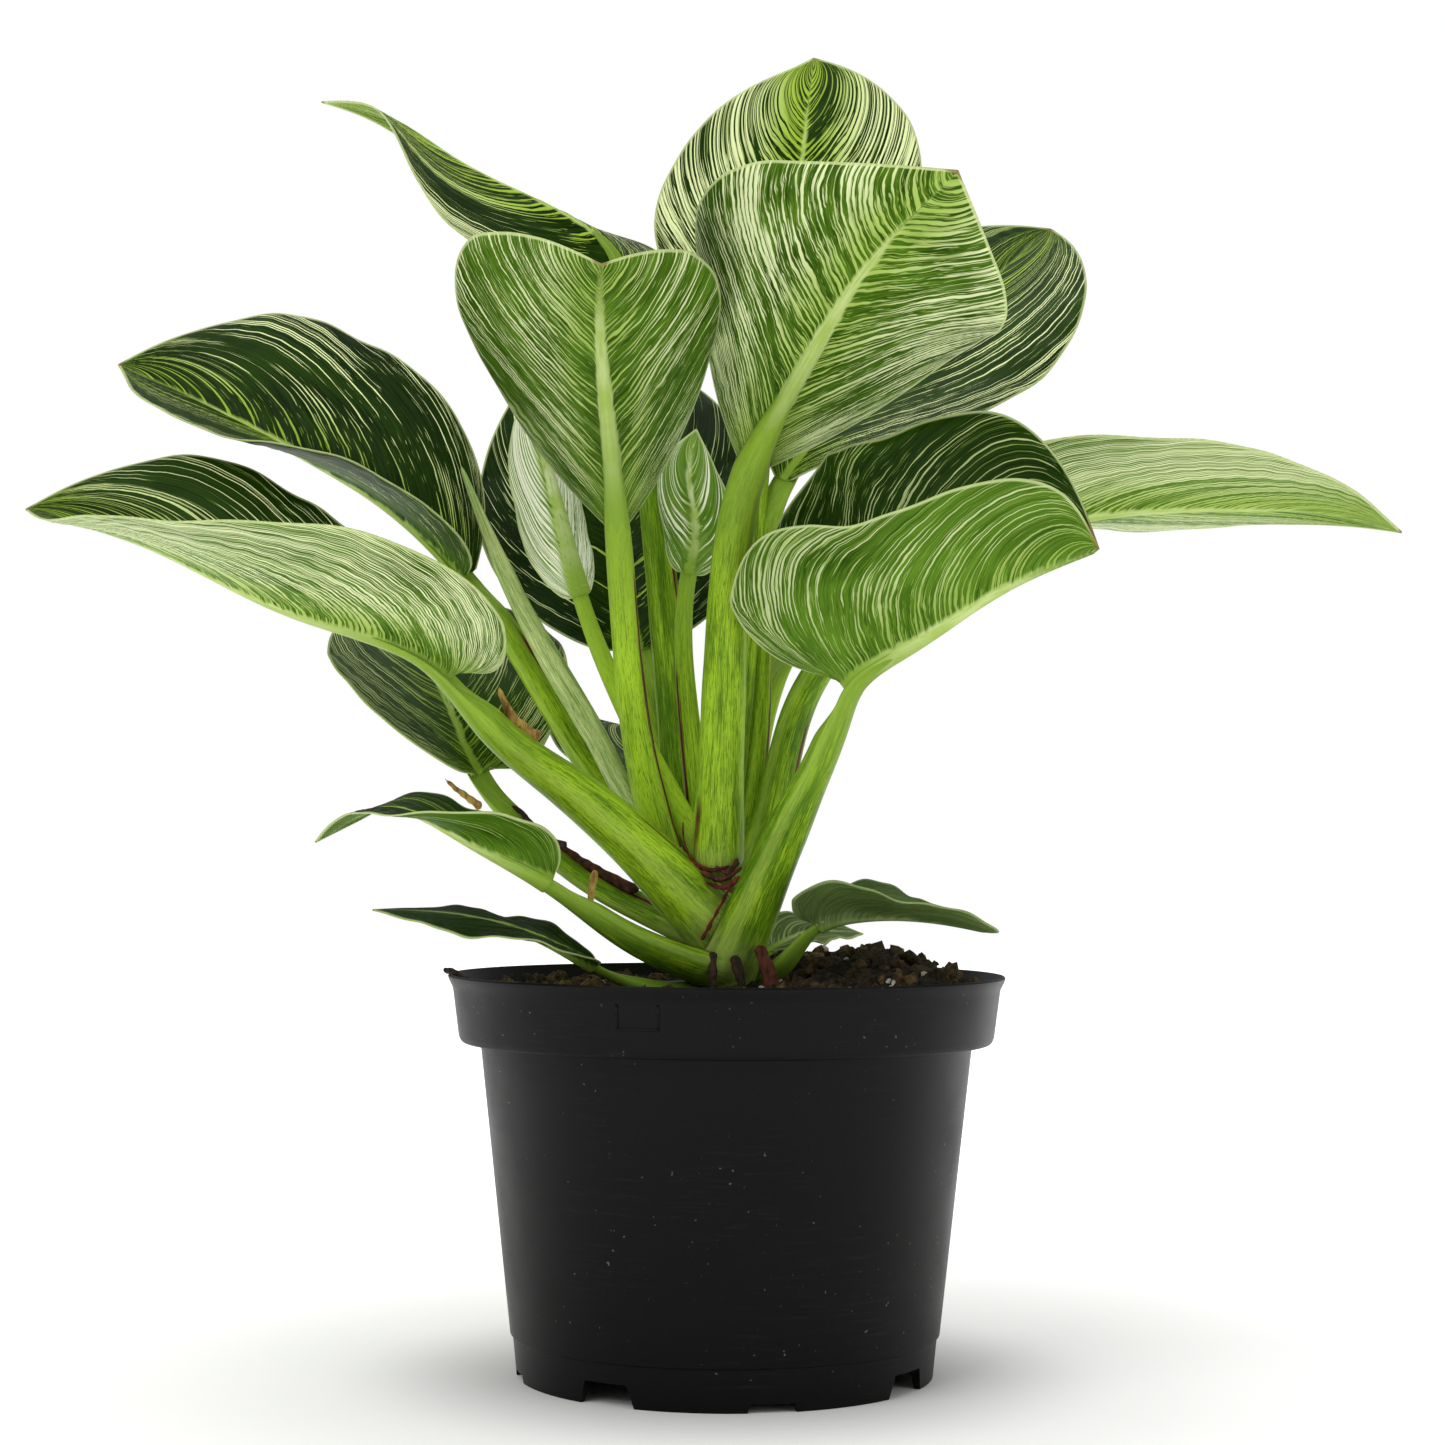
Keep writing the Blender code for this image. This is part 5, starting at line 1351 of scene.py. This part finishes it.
class BIRKIN_OT_stage(bpy.types.Operator):
    """Builds the floor, the light and the camera"""

    bl_idname = "birkin.stage"
    bl_label = "Stage"

    def execute(self, context):
        scene = context.scene
        settings = scene.birkin_stage
        mesh = bpy.data.meshes.new("floor")
        corners = [(x * FLOOR_HALF, y * FLOOR_HALF, 0) for x, y in ((-1, -1), (1, -1), (1, 1), (-1, 1))]
        mesh.from_pydata(corners, [], [(0, 1, 2, 3)])
        floor = bpy.data.objects.new("floor", mesh)
        scene.collection.objects.link(floor)
        material, step = start_material("white_card_painted_glow")
        # Painted light and shadow: the floor glows more the further it lies from the pot's middle, up to 70
        # cm out. It does not glow at all within 5 cm of the middle, which paints a darker shadow under and
        # round the pot.
        away = step("length of", step("object place"))
        shade = step("ramp", away, 0.050, 0.12)
        floor_painted_glow = step("multiply", shade, step("ramp", away, 0.02, 0.7, 0.26, 1.0))
        surface = step("glowing surface", tuple(settings.floor), 0.9, 0.1, (1, 1, 1), floor_painted_glow)
        mesh.materials.append(wear(material, surface))
        world = bpy.data.worlds.new("even_light")
        world.use_nodes = True
        tree = world.node_tree
        tree.nodes.clear()
        strength = add_node(tree, "even ramp", add_node(tree, "seen straight"), settings.sky, 1.0)
        light = add_node(tree, "background", (1, 1, 1), strength)
        tree.links.new(light, tree.nodes.new("ShaderNodeOutputWorld").inputs["Surface"])
        scene.world = world
        for name, (place, size, share) in LAMPS.items():
            add_lamp(name, place, size, share * settings.key)
        data = bpy.data.cameras.new("camera")
        data.lens = CAMERA_LENS
        data.sensor_width = SENSOR_WIDTH
        data.clip_start = 0.05
        data.clip_end = 50
        camera = bpy.data.objects.new("camera", data)
        aim = Euler((math.radians(90 + CAMERA_PITCH), 0, math.radians(CAMERA_YAW))).to_matrix()
        roll = Euler((0, 0, math.radians(CAMERA_ROLL))).to_matrix()
        camera.rotation_euler = (aim @ roll).to_euler()
        camera.location = CAMERA_PLACE
        scene.collection.objects.link(camera)
        scene.camera = camera
        scene.view_settings.view_transform = "Standard"
        return {"FINISHED"}


STEPS = (BIRKIN_OT_pot, BIRKIN_OT_soil, BIRKIN_OT_stalks, BIRKIN_OT_leaves, BIRKIN_OT_scraps, BIRKIN_OT_stage)


class BIRKIN_PT_panel(bpy.types.Panel):
    """Lists the steps that build the plant"""

    bl_label = "Birkin philodendron"
    bl_idname = "BIRKIN_PT_panel"
    bl_space_type = "VIEW_3D"
    bl_region_type = "UI"
    bl_category = "Birkin"

    def draw(self, context):
        for step in STEPS:
            self.layout.operator(step.bl_idname)


SETTINGS = dict(birkin_leaf=BirkinLeafSettings, birkin_stalk=BirkinStalkSettings,
                birkin_pot=BirkinPotSettings, birkin_stage=BirkinStageSettings)
CLASSES = (*SETTINGS.values(), *STEPS, BIRKIN_PT_panel)


def register():
    for cls in CLASSES:
        bpy.utils.register_class(cls)
    for name, cls in SETTINGS.items():
        setattr(bpy.types.Scene, name, bpy.props.PointerProperty(type=cls))


def unregister():
    for name in SETTINGS:
        delattr(bpy.types.Scene, name)
    for cls in reversed(CLASSES):
        bpy.utils.unregister_class(cls)


def main():
    """Builds everything."""
    register()
    bpy.ops.birkin.pot()
    bpy.ops.birkin.soil()
    bpy.ops.birkin.stalks()
    bpy.ops.birkin.leaves()
    bpy.ops.birkin.scraps()
    bpy.ops.birkin.stage()


if __name__ == "__main__":
    main()
